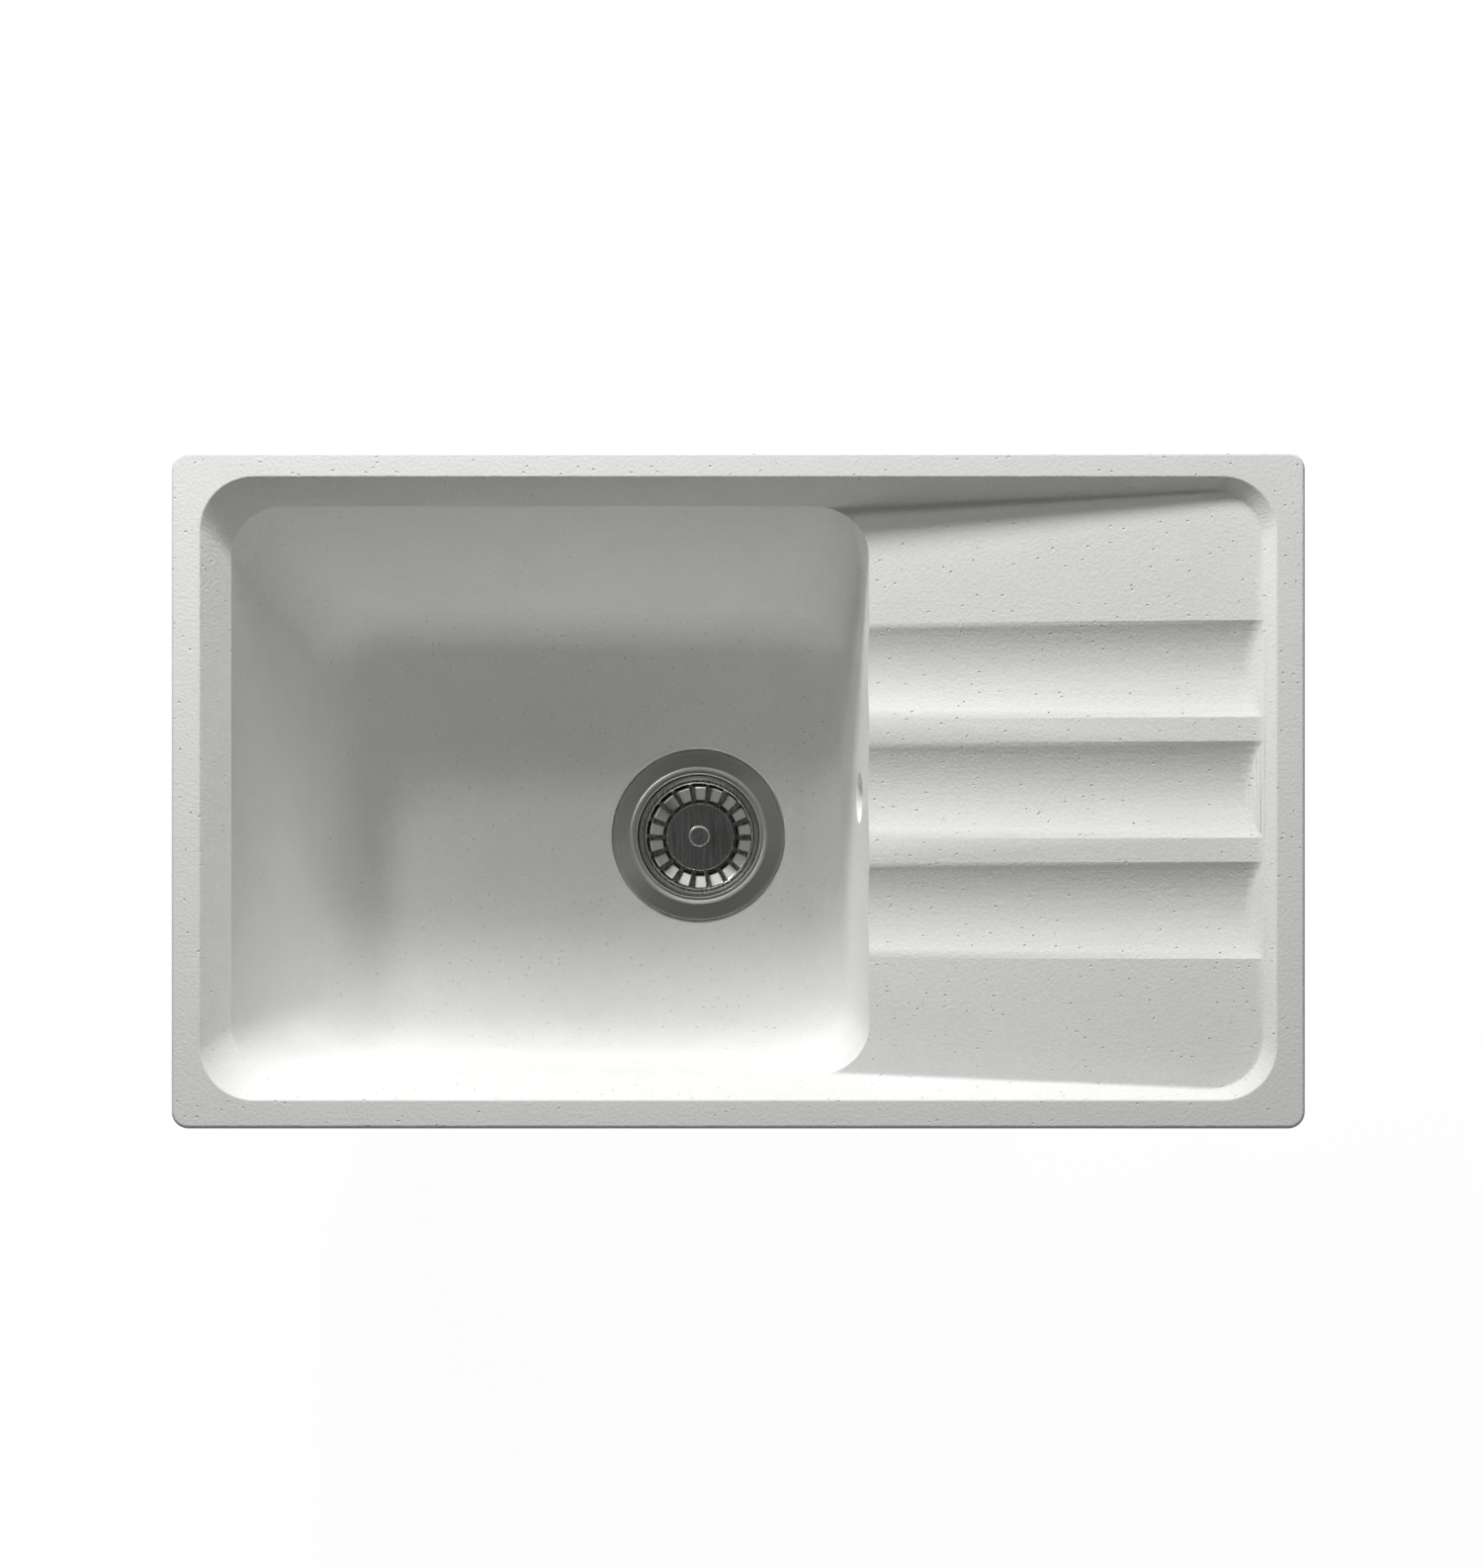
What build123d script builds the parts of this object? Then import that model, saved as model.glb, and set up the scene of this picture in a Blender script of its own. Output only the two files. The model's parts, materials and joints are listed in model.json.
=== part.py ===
from build123d import *
import os
from math import atan, atan2, cos, degrees, hypot

# Inset kitchen sink of moulded quartz composite, in millimetres: one bowl, a grooved drainer,
# a basket strainer waste, an overflow and the clips that hold the sink in its worktop.
# The origin is the middle of the rim's outline, on the worktop under the rim seal.
# X runs towards the drainer, Y towards the back and Z up. Depths are measured from the rim's top.

# Rim
sink_length = 670.0
sink_width = 400.0
rim_corner_radius = 10.0
rim_height = 8.0
rim_edge_round = 2.5
rim_border_side = 17.0
rim_border_front = 17.0
rim_border_back = 15.0

# Foam seal under the rim
seal_height = 2.0
seal_width = 8.0
seal_inset = 2.0
seal_inner_corner = 5.0

# Recess between the rim and the bowl, with the drainer as its floor
recess_corner_radius = 32.0
recess_edge_round = 1.5
step_depth = 20.0
step_run = 13.5
step_blend = 3.0
drainer_end_depth = 7.0
drainer_end_run = 7.0
wall = 8.0

# Bowl
bowl_length = 382.5
mouth_corner_radius = 31.0
bowl_depth = 185.0
draft_left = 24.0
draft_right = 16.0
draft_front = 7.0
draft_back = 45.0
floor_corner_radius = 40.0
floor_fillet = 28.0
floor_thickness = 10.0

# Drainer grooves
groove_count = 3
groove_width = 57.5
groove_pitch = 71.8
groove_depth = 6.0

# Fixing clips and the bosses that carry them
boss_radius = 6.5
boss_depth = 40.0
bowl_clip_x = -150.0
drainer_clip_x = 180.0
insert_radius = 3.5
insert_length = 14.0
clip_screw_radius = 2.0
clip_screw_grip = 12.0
clip_head_radius = 3.6
clip_head_height = 2.6
clip_width = 10.0
clip_sheet = 2.0
clip_reach = 30.0
clip_drop = 18.0
clip_claw_height = 9.0
clip_bend_round = 2.5
clip_wall_gap = 0.85
clip_play = 0.1
clip_bore_clearance = 0.05
clip_head_gap = 0.9

# Drain hole and strainer flange
drain_from_right = 94.5
drain_hole_radius = 45.0
drain_seat_radius = 58.5
drain_seat_depth = 2.5
drain_seat_round = 1.0
flange_radius = 57.0
flange_sheet = 1.2
flange_fall = 0.8
flange_seal_height = 1.5
flange_seal_width = 9.0
lip_round = 4.0
throat_radius = 41.0
ledge_depth = 9.0
cup_radius = 36.5
well_radius = 20.0
well_height = 8.0
hub_radius = 7.0
spider_arms = 3
spider_arm_width = 4.0
spider_height = 2.0

# Strainer basket, knob and stopper
basket_rim_radius = 39.5
basket_sheet = 1.0
basket_top_radius = 36.0
basket_floor_radius = 23.0
basket_depth = 20.0
basket_gap = 0.3
bar_count = 18
bar_width = 2.8
window_margin = 0.5
knob_radius = 7.25
knob_neck_radius = 4.0
knob_collar_radius = 6.0
knob_collar_height = 2.0
knob_height = 18.0
knob_head_height = 7.0
knob_edge_round = 1.75
stem_radius = 2.5
stem_end = 0.5
stopper_radius = 24.0
stopper_height = 4.0
stopper_bevel = 1.5
stopper_nut_radius = 4.6
stopper_nut_height = 3.0

# Waste body under the floor
body_seal_height = 2.5
body_seal_width = 8.0
body_flange_radius = 57.0
body_flange_height = 4.0
body_wall = 3.0
chamber_radius = 46.0
chamber_height = 33.0
funnel_height = 16.0
outlet_radius = 23.9
outlet_bore_radius = 20.0
outlet_length = 32.0
body_hub_radius = 8.0
body_hub_height = 14.0
body_arm_width = 4.0
clamp_insert_radius = 4.5
clamp_insert_length = 11.0
clamp_screw_radius = 3.0
clamp_head_radius = 5.5
clamp_head_height = 3.0
clamp_hole_clearance = 0.1
clamp_gap = 1.0

# Overflow
overflow_depth = 70.0
overflow_radius = 15.0
overflow_edge_round = 1.5
overflow_boss_margin = 1.0
overflow_seal_height = 2.0
elbow_flange_margin = 4.5
elbow_flange_height = 4.0
elbow_bore_radius = 13.0
elbow_reach = 18.0
elbow_nut_gap = 3.0
elbow_screw_radius = 2.0
elbow_screw_grip = 8.0
elbow_head_radius = 3.6
elbow_head_height = 2.6
elbow_head_gap = 1.0
pipe_radius = 10.0
pipe_wall = 1.5
pipe_bend_radius = 30.0
pipe_engagement = 16.0
pipe_drop = 21.0
spigot_wall = 3.5
spigot_nut_gap = 2.0
pipe_clearance = 0.3
slip_nut_wall = 4.0
slip_nut_length = 14.0
slip_nut_face = 3.0
slip_rib_count = 8
slip_rib_width = 3.0
slip_rib_height = 1.2
slip_ring_length = 4.0

# Heights and plan positions that follow from the sizes above
rim_bottom = seal_height
rim_top = rim_bottom + rim_height
recess_left = -sink_length / 2 + rim_border_side
recess_right = sink_length / 2 - rim_border_side
recess_front = -sink_width / 2 + rim_border_front
recess_back = sink_width / 2 - rim_border_back
mouth_left = recess_left + step_run
mouth_right = mouth_left + bowl_length
mouth_front = recess_front + step_run
mouth_back = recess_back - step_run
mouth_top = rim_top - step_depth
floor_left = mouth_left + draft_left
floor_right = mouth_right - draft_right
floor_front = mouth_front + draft_front
floor_back = mouth_back - draft_back
floor_top = rim_top - bowl_depth
floor_bottom = floor_top - floor_thickness
drainer_end = recess_right - drainer_end_run
drainer_slope = (step_depth - drainer_end_depth) / (drainer_end - mouth_right)
drainer_middle = (recess_front + recess_back) / 2
groove_radius = (groove_width ** 2 / 4 + groove_depth ** 2) / (2 * groove_depth)

# Heights down the waste, from the flange to the outlet
flange_bottom = floor_top - drain_seat_depth + flange_seal_height
flange_top = flange_bottom + flange_sheet
ledge_top = flange_top - ledge_depth
basket_top = ledge_top + basket_gap + basket_sheet
basket_floor = basket_top - basket_depth
stopper_top = basket_floor - basket_sheet
stopper_bottom = stopper_top - stopper_height
cup_bottom = stopper_bottom - basket_gap
spider_top = cup_bottom - well_height
spider_bottom = spider_top - spider_height
body_top = floor_bottom - body_seal_height
chamber_bottom = body_top - chamber_height
outlet_top = chamber_bottom - funnel_height
outlet_bottom = outlet_top - outlet_length
body_hub_top = spider_bottom - clamp_gap
body_hub_bottom = body_hub_top - body_hub_height
drain_x = floor_right - drain_from_right
drain_y = (floor_front + floor_back) / 2

# Overflow axes: the inlet lies along X, the pipe in the upright plane of the elbow and the drain
overflow_height = rim_top - overflow_depth
overflow_y = 0.0
overflow_face = mouth_right + wall
elbow_face = overflow_face + overflow_seal_height
elbow_x = elbow_face + elbow_flange_height + elbow_reach
elbow_tube_radius = elbow_bore_radius + spigot_wall
elbow_screw_spread = elbow_tube_radius + elbow_head_gap + elbow_head_radius
elbow_flange_radius = elbow_screw_spread + elbow_flange_margin
overflow_boss_radius = elbow_flange_radius + overflow_boss_margin
spigot_bore_radius = pipe_radius + pipe_clearance
spigot_radius = spigot_bore_radius + spigot_wall
elbow_outlet_bottom = overflow_height - elbow_flange_radius - elbow_nut_gap - slip_nut_length
pipe_height = floor_bottom - pipe_drop
pipe_run = hypot(elbow_x - drain_x, overflow_y - drain_y)
pipe_turn = degrees(atan2(overflow_y - drain_y, elbow_x - drain_x))
spigot_end = body_flange_radius + spigot_nut_gap + slip_nut_length

# Clip heights: the top flange lies under its boss and the claw reaches up to the worktop
boss_bottom = rim_top - boss_depth
clip_top = boss_bottom - clip_play
clip_bottom = clip_top - clip_drop
clip_web = clip_head_radius + clip_head_gap


def turned(*corners):
    """Solid turned about Z from the corners of its section: radius, height and rounding."""
    points = [(radius, height) for radius, height, rounding in corners]
    rounds = [rounding for radius, height, rounding in corners]
    section = make_face(FilletPolyline(*points, radius=rounds, close=True))
    return revolve(Plane.XZ * section, Axis.Z)


def rod(radius, low, high, x=0.0, y=0.0):
    """Upright cylinder between two heights."""
    return Pos(x, y, (low + high) / 2) * Cylinder(radius, high - low)


def sleeve(outer, inner, low, high):
    """Upright ring between two heights."""
    return rod(outer, low, high) - rod(inner, low, high)


def along_x(radius, start, end, y, height):
    """Cylinder that lies along X."""
    return Pos((start + end) / 2, y, height) * Rot(0, 90, 0) * Cylinder(radius, end - start)


def at_drain(solid):
    """Move a piece that was made about Z to the drain."""
    return Pos(drain_x, drain_y, 0) * solid


def outline(left, right, front, back, radius, height):
    """Level rectangle with rounded corners."""
    middle = Pos((left + right) / 2, (front + back) / 2, height)
    return middle * RectangleRounded(right - left, back - front, radius)


def drainer_height(x):
    """Height of the drainer's flat at a place along the sink."""
    return mouth_top + drainer_slope * (x - mouth_right)


def groove(number, grow):
    """Round trough along the slope of the drainer."""
    y = drainer_middle + (number - (groove_count - 1) / 2) * groove_pitch
    start = mouth_right - 2 * wall
    end = recess_right
    rise = (groove_radius - groove_depth) / cos(atan(drainer_slope))
    middle_x = (start + end) / 2
    axis = Plane(
        origin=(middle_x, y, drainer_height(middle_x) + rise),
        z_dir=(1, 0, drainer_slope),
    )
    return axis * Cylinder(groove_radius + grow, (end - start) * hypot(1, drainer_slope))


def recess(grow):
    """Space under the rim down to the drainer and its grooves, or the outside of its wall when grown."""
    depth = step_depth + 2 * groove_depth + grow
    inset = step_run * depth / step_depth - grow
    end_inset = drainer_end_run * depth / drainer_end_depth - grow
    corner_change = (mouth_corner_radius - recess_corner_radius) * depth / step_depth
    corner = recess_corner_radius + grow
    upper = outline(
        recess_left - grow, recess_right + grow, recess_front - grow, recess_back + grow, corner, rim_top
    )
    lower = outline(
        recess_left + inset,
        recess_right - end_inset,
        recess_front + inset,
        recess_back - inset,
        corner + corner_change,
        rim_top - depth,
    )
    funnel = loft([upper, lower], ruled=True)
    half_length = sink_length / 2
    side = Polyline(
        (-half_length, drainer_height(-half_length) - grow),
        (half_length, drainer_height(half_length) - grow),
        (half_length, rim_top),
        (-half_length, rim_top),
        close=True,
    )
    above_drainer = extrude(Plane.XZ * make_face(side), sink_width / 2, both=True)
    space = funnel & above_drainer
    drainer = space.faces().filter_by(lambda face: face.normal_at().X > 0 and face.normal_at().Z < -0.9)[0]
    drainer_start = drainer.bounding_box().min.X
    base = drainer.edges().filter_by(lambda edge: edge.bounding_box().max.X > drainer_start + wall)
    space = fillet(base, step_blend)
    for number in range(groove_count):
        space += funnel & groove(number, grow)
    return space


def bowl(grow, drop):
    """Space inside the bowl, or the outside of its wall and floor when grown and dropped."""
    mouth = outline(
        mouth_left - grow,
        mouth_right + grow,
        mouth_front - grow,
        mouth_back + grow,
        mouth_corner_radius + grow,
        mouth_top,
    )
    floor = outline(
        floor_left - grow,
        floor_right + grow,
        floor_front - grow,
        floor_back + grow,
        floor_corner_radius + grow,
        floor_top - drop,
    )
    space = loft([mouth, floor], ruled=True)
    lowest = space.faces().sort_by(Axis.Z)[0]
    return fillet(lowest.edges(), floor_fillet + grow)


def clip_places():
    """Name, plan position and outward direction of each clip's screw."""
    share = (boss_depth - step_depth) / (bowl_depth - step_depth)
    stand_off = clip_wall_gap + clip_width / 2
    left = mouth_left - wall + draft_left * share - stand_off
    front = mouth_front - wall + draft_front * share - stand_off
    back = mouth_back + wall - draft_back * share + stand_off
    right = recess_right + wall - drainer_end_run * rim_height / drainer_end_depth - boss_radius
    return [
        ("clip_left", left, 0.0, 180.0),
        ("clip_right", right, 0.0, 0.0),
        ("clip_back_bowl", bowl_clip_x, back, 90.0),
        ("clip_back_drainer", drainer_clip_x, back, 90.0),
        ("clip_front_bowl", bowl_clip_x, front, 270.0),
        ("clip_front_drainer", drainer_clip_x, front, 270.0),
    ]


def sink_body():
    """The composite moulding."""
    rim = extrude(outline(-sink_length / 2, sink_length / 2, -sink_width / 2, sink_width / 2,
                          rim_corner_radius, rim_bottom), rim_height)
    rim = fillet(rim.faces().sort_by(Axis.Z)[-1].edges(), rim_edge_round)
    body = rim + recess(wall) + bowl(wall, floor_thickness)
    for name, x, y, outward in clip_places():
        body += rod(boss_radius, boss_bottom, rim_bottom, x, y)
    body += along_x(overflow_boss_radius, floor_right, overflow_face, overflow_y, overflow_height)
    body -= recess(0)
    body -= bowl(0, 0)
    for name, x, y, outward in clip_places():
        body -= rod(insert_radius, boss_bottom, boss_bottom + insert_length, x, y)
    body -= at_drain(rod(drain_hole_radius, floor_bottom, floor_top))
    body -= at_drain(rod(drain_seat_radius, floor_top - drain_seat_depth, floor_top))
    body -= along_x(overflow_radius, floor_right, overflow_face, overflow_y, overflow_height)
    for side in (-1, 1):
        body -= along_x(elbow_screw_radius, overflow_face - elbow_screw_grip, overflow_face,
                        overflow_y + side * elbow_screw_spread, overflow_height)
    curved_edges = body.edges().filter_by(GeomType.LINE, reverse=True)
    seat_edge = curved_edges.sort_by_distance((drain_x + drain_seat_radius, drain_y, floor_top))[0]
    body = fillet(seat_edge, drain_seat_round)
    hole_x = mouth_right - draft_right * (overflow_depth - step_depth) / (bowl_depth - step_depth)
    curved_edges = body.edges().filter_by(GeomType.LINE, reverse=True)
    hole_edge = curved_edges.sort_by_distance((hole_x, overflow_y, overflow_height))[0]
    body = fillet(hole_edge, overflow_edge_round)
    inner_edge = body.faces().sort_by(Axis.Z)[-1].inner_wires()[0].edges()
    return fillet(inner_edge, recess_edge_round)


def rim_seal():
    """Foam strip that lies on the worktop."""
    outer = RectangleRounded(sink_length - 2 * seal_inset, sink_width - 2 * seal_inset,
                             rim_corner_radius - seal_inset)
    inner_length = sink_length - 2 * (seal_inset + seal_width)
    inner_width = sink_width - 2 * (seal_inset + seal_width)
    inner = RectangleRounded(inner_length, inner_width, seal_inner_corner)
    return extrude(outer - inner, seal_height)


def clip_insert(x, y):
    """Brass sleeve in a boss."""
    ring = sleeve(insert_radius, clip_screw_radius, boss_bottom, boss_bottom + insert_length)
    return Pos(x, y, 0) * ring


def clip_screw(x, y):
    """Screw that a clip swings on, with its head below the clip."""
    head_top = clip_top - clip_sheet - clip_play
    shank = rod(clip_screw_radius, head_top, boss_bottom + clip_screw_grip)
    head = rod(clip_head_radius, head_top - clip_head_height, head_top)
    return Pos(x, y, 0) * (shank + head)


def clip(x, y, outward):
    """Bent strip with a claw, turned in along the wall as it is for lowering the sink."""
    corners = [
        (0, clip_top, 0),
        (clip_web + clip_sheet, clip_top, clip_bend_round),
        (clip_web + clip_sheet, clip_bottom + clip_sheet, 0),
        (clip_reach - clip_sheet, clip_bottom + clip_sheet, 0),
        (clip_reach - clip_sheet, clip_bottom + clip_claw_height, 0),
        (clip_reach, clip_bottom + clip_claw_height, 0),
        (clip_reach, clip_bottom, clip_bend_round),
        (clip_web, clip_bottom, clip_bend_round),
        (clip_web, clip_top - clip_sheet, 0),
        (0, clip_top - clip_sheet, 0),
    ]
    points = [(along, height) for along, height, rounding in corners]
    rounds = [rounding for along, height, rounding in corners]
    strip = make_face(FilletPolyline(*points, radius=rounds, close=True))
    strip = extrude(Plane.XZ * strip, clip_width / 2, both=True)
    strip += rod(clip_width / 2, clip_top - clip_sheet, clip_top)
    strip -= rod(clip_screw_radius + clip_bore_clearance, clip_top - clip_sheet, clip_top)
    return Pos(x, y, 0) * Rot(0, 0, outward + 90) * strip


def spider(arm_length, arm_width, hub, low, high):
    """Hub on arms that leave the water a way past it."""
    star = rod(hub, low, high)
    for number in range(spider_arms):
        arm = Pos(arm_length / 2, 0, (low + high) / 2) * Box(arm_length, arm_width, high - low)
        star += Rot(0, 0, 360 * number / spider_arms) * arm
    return star


def waste_flange():
    """Pressed flange and cup, with the ledge for the basket and the well for the clamp screw."""
    lip_height = flange_top - flange_fall
    cup = turned(
        (flange_radius, flange_top, 0),
        (throat_radius + lip_round, flange_top, lip_round),
        (throat_radius, lip_height, lip_round),
        (throat_radius, ledge_top, 0),
        (cup_radius, ledge_top, 0),
        (cup_radius, cup_bottom, 0),
        (well_radius, cup_bottom, 0),
        (well_radius, spider_bottom, 0),
        (well_radius + flange_sheet, spider_bottom, 0),
        (well_radius + flange_sheet, cup_bottom - flange_sheet, 0),
        (cup_radius + flange_sheet, cup_bottom - flange_sheet, 0),
        (cup_radius + flange_sheet, ledge_top - flange_sheet, 0),
        (throat_radius + flange_sheet, ledge_top - flange_sheet, 0),
        (throat_radius + flange_sheet, lip_height - flange_sheet, lip_round - flange_sheet),
        (throat_radius + lip_round, flange_bottom, 0),
        (flange_radius, flange_bottom, 0),
    )
    cup += spider(well_radius + flange_sheet / 2, spider_arm_width, hub_radius, spider_bottom, spider_top)
    cup -= rod(clamp_screw_radius + clamp_hole_clearance, spider_bottom, spider_top)
    return at_drain(cup)


def flange_seal():
    """Flat ring between the flange and its seat in the floor."""
    inner = flange_radius - flange_seal_width
    return at_drain(sleeve(flange_radius, inner, flange_bottom - flange_seal_height, flange_bottom))


def strainer_basket():
    """Dished basket whose sloping side is cut into radial bars."""
    rim_low = basket_top - basket_sheet
    floor_low = basket_floor - basket_sheet
    shell = turned(
        (basket_rim_radius, basket_top, 0),
        (basket_top_radius, basket_top, 0),
        (basket_floor_radius, basket_floor, 0),
        (stem_radius, basket_floor, 0),
        (stem_radius, floor_low, 0),
        (basket_floor_radius, floor_low, 0),
        (basket_top_radius, rim_low, 0),
        (basket_rim_radius, rim_low, 0),
    )
    windows = Circle(basket_top_radius - window_margin) - Circle(basket_floor_radius + window_margin)
    for number in range(bar_count):
        bar = Pos(basket_top_radius / 2, 0) * Rectangle(basket_top_radius, bar_width)
        windows -= Rot(0, 0, 360 * number / bar_count) * bar
    return at_drain(shell - extrude(Pos(0, 0, floor_low) * windows, basket_top - floor_low))


def basket_knob():
    """Turned knob whose stem goes down through the basket, the stopper and the nut."""
    head_low = basket_floor + knob_height - knob_head_height
    knob = turned(
        (0, stopper_bottom - stopper_nut_height - stem_end, 0),
        (stem_radius, stopper_bottom - stopper_nut_height - stem_end, 0),
        (stem_radius, basket_floor, 0),
        (knob_collar_radius, basket_floor, 0),
        (knob_collar_radius, basket_floor + knob_collar_height, 0),
        (knob_neck_radius, basket_floor + knob_collar_height, 0),
        (knob_neck_radius, head_low, 0),
        (knob_radius, head_low, 0),
        (knob_radius, basket_floor + knob_height, knob_edge_round),
        (0, basket_floor + knob_height, 0),
    )
    return at_drain(knob)


def basket_stopper():
    """Rubber disc that closes the well."""
    disc = turned(
        (stem_radius, stopper_top, 0),
        (stopper_radius, stopper_top, 0),
        (stopper_radius, stopper_bottom + stopper_bevel, 0),
        (stopper_radius - stopper_bevel, stopper_bottom, 0),
        (stem_radius, stopper_bottom, 0),
    )
    return at_drain(disc)


def stopper_nut():
    """Six-sided nut under the stopper."""
    face = RegularPolygon(stopper_nut_radius, 6) - Circle(stem_radius)
    nut = extrude(Pos(0, 0, stopper_bottom - stopper_nut_height) * face, stopper_nut_height)
    return at_drain(nut)


def waste_body():
    """Moulded cup with the outlet, the hub for the clamp screw and the overflow spigot."""
    outer_radius = chamber_radius + body_wall
    funnel_wall = outlet_radius - outlet_bore_radius
    cup = turned(
        (chamber_radius, body_top, 0),
        (chamber_radius, chamber_bottom, 0),
        (outlet_bore_radius, outlet_top, 0),
        (outlet_bore_radius, outlet_bottom, 0),
        (outlet_radius, outlet_bottom, 0),
        (outlet_radius, outlet_top - funnel_wall, 0),
        (outer_radius, chamber_bottom - body_wall, body_wall),
        (outer_radius, body_top - body_flange_height, 0),
        (body_flange_radius, body_top - body_flange_height, 0),
        (body_flange_radius, body_top, 0),
    )
    arm_length = chamber_radius + body_wall / 2
    arms = spider(arm_length, body_arm_width, body_hub_radius, body_hub_bottom, body_hub_top)
    keep = rod(arm_length, chamber_bottom, body_hub_top)
    funnel_room = turned(
        (0, chamber_bottom, 0),
        (outer_radius - body_wall / 2, chamber_bottom, 0),
        (outlet_bore_radius, outlet_top - body_wall / 2, 0),
        (0, outlet_top - body_wall / 2, 0),
    )
    cup += arms & (keep + funnel_room)
    spigot_reach = Pos(0, 0, pipe_height) * Rot(0, 0, pipe_turn)
    spigot = along_x(spigot_radius, chamber_radius + body_wall / 2, spigot_end, 0, 0)
    spigot_bore = along_x(spigot_bore_radius, chamber_radius - body_wall, spigot_end, 0, 0)
    cup += spigot_reach * spigot
    cup -= spigot_reach * spigot_bore
    cup -= rod(clamp_insert_radius, body_hub_top - clamp_insert_length, body_hub_top)
    return at_drain(cup)


def body_seal():
    """Flat ring between the waste body and the underside of the floor."""
    return at_drain(sleeve(body_flange_radius, body_flange_radius - body_seal_width, body_top, floor_bottom))


def clamp_screw():
    """Screw that draws the flange and the waste body together."""
    shank = rod(clamp_screw_radius, body_hub_top - clamp_insert_length, spider_top)
    head = rod(clamp_head_radius, spider_top, spider_top + clamp_head_height)
    return at_drain(shank + head)


def clamp_insert():
    """Brass sleeve in the hub of the waste body."""
    return at_drain(sleeve(clamp_insert_radius, clamp_screw_radius,
                           body_hub_top - clamp_insert_length, body_hub_top))


def overflow_seal():
    """Flat ring between the elbow and its boss on the bowl."""
    ring = along_x(elbow_flange_radius, overflow_face, elbow_face, overflow_y, overflow_height)
    ring -= along_x(overflow_radius, overflow_face, elbow_face, overflow_y, overflow_height)
    for side in (-1, 1):
        ring -= along_x(elbow_screw_radius, overflow_face, elbow_face,
                        overflow_y + side * elbow_screw_spread, overflow_height)
    return ring


def overflow_elbow():
    """Moulded elbow from the overflow hole down to the pipe."""
    flange_back = elbow_face + elbow_flange_height
    elbow = along_x(elbow_flange_radius, elbow_face, flange_back, overflow_y, overflow_height)
    elbow += along_x(elbow_tube_radius, elbow_face, elbow_x, overflow_y, overflow_height)
    elbow += Pos(elbow_x, overflow_y, overflow_height) * Sphere(elbow_tube_radius)
    elbow += rod(spigot_radius, elbow_outlet_bottom, overflow_height, elbow_x, overflow_y)
    elbow -= along_x(elbow_bore_radius, elbow_face, elbow_x, overflow_y, overflow_height)
    elbow -= Pos(elbow_x, overflow_y, overflow_height) * Sphere(elbow_bore_radius)
    elbow -= rod(spigot_bore_radius, elbow_outlet_bottom, overflow_height, elbow_x, overflow_y)
    for side in (-1, 1):
        elbow -= along_x(elbow_screw_radius, elbow_face, flange_back,
                         overflow_y + side * elbow_screw_spread, overflow_height)
    return elbow


def overflow_screw(side):
    """Screw that holds the elbow on its boss."""
    y = overflow_y + side * elbow_screw_spread
    flange_back = elbow_face + elbow_flange_height
    shank = along_x(elbow_screw_radius, overflow_face - elbow_screw_grip, flange_back, y, overflow_height)
    head = along_x(elbow_head_radius, flange_back, flange_back + elbow_head_height, y, overflow_height)
    return shank + head


def overflow_pipe():
    """Rigid bent pipe from the elbow to the waste body's spigot, made in the plane of its two axes."""
    low_end = (spigot_end - pipe_engagement, pipe_height)
    corner = (pipe_run, pipe_height)
    high_end = (pipe_run, elbow_outlet_bottom + pipe_engagement)
    route = Plane.XZ * FilletPolyline(low_end, corner, high_end, radius=pipe_bend_radius)
    ring = Circle(pipe_radius) - Circle(pipe_radius - pipe_wall)
    section = Plane(origin=route @ 0, z_dir=route % 0) * ring
    return at_drain(Rot(0, 0, pipe_turn) * sweep(section, route))


def slip_ring():
    """Seal ring on the pipe, outside the end of its spigot, made about Z with the spigot's end at zero."""
    return sleeve(spigot_radius, pipe_radius, -slip_ring_length, 0)


def slip_nut():
    """Ribbed nut over the end of a spigot, made about Z with the spigot's end at zero."""
    outer_radius = spigot_radius + slip_nut_wall
    face_top = -slip_ring_length
    nut = turned(
        (spigot_radius, slip_nut_length, 0),
        (outer_radius, slip_nut_length, 0),
        (outer_radius, face_top, 0),
        (outer_radius - slip_nut_face, face_top - slip_nut_face, 0),
        (pipe_radius + pipe_clearance, face_top - slip_nut_face, 0),
        (pipe_radius + pipe_clearance, face_top, 0),
        (spigot_radius, face_top, 0),
    )
    length = slip_nut_length - face_top
    rib = Pos(outer_radius, 0, face_top + length / 2) * Box(2 * slip_rib_height, slip_rib_width, length)
    for number in range(slip_rib_count):
        nut += Rot(0, 0, 360 * number / slip_rib_count) * rib
    return nut


def at_elbow(solid):
    """Move a piece that was made at a spigot's end to the elbow's outlet."""
    return Pos(elbow_x, overflow_y, elbow_outlet_bottom) * solid


def at_spigot(solid):
    """Move a piece that was made at a spigot's end to the waste body's spigot."""
    lying = Pos(spigot_end, 0, pipe_height) * Rot(0, -90, 0) * solid
    return at_drain(Rot(0, 0, pipe_turn) * lying)


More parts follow.
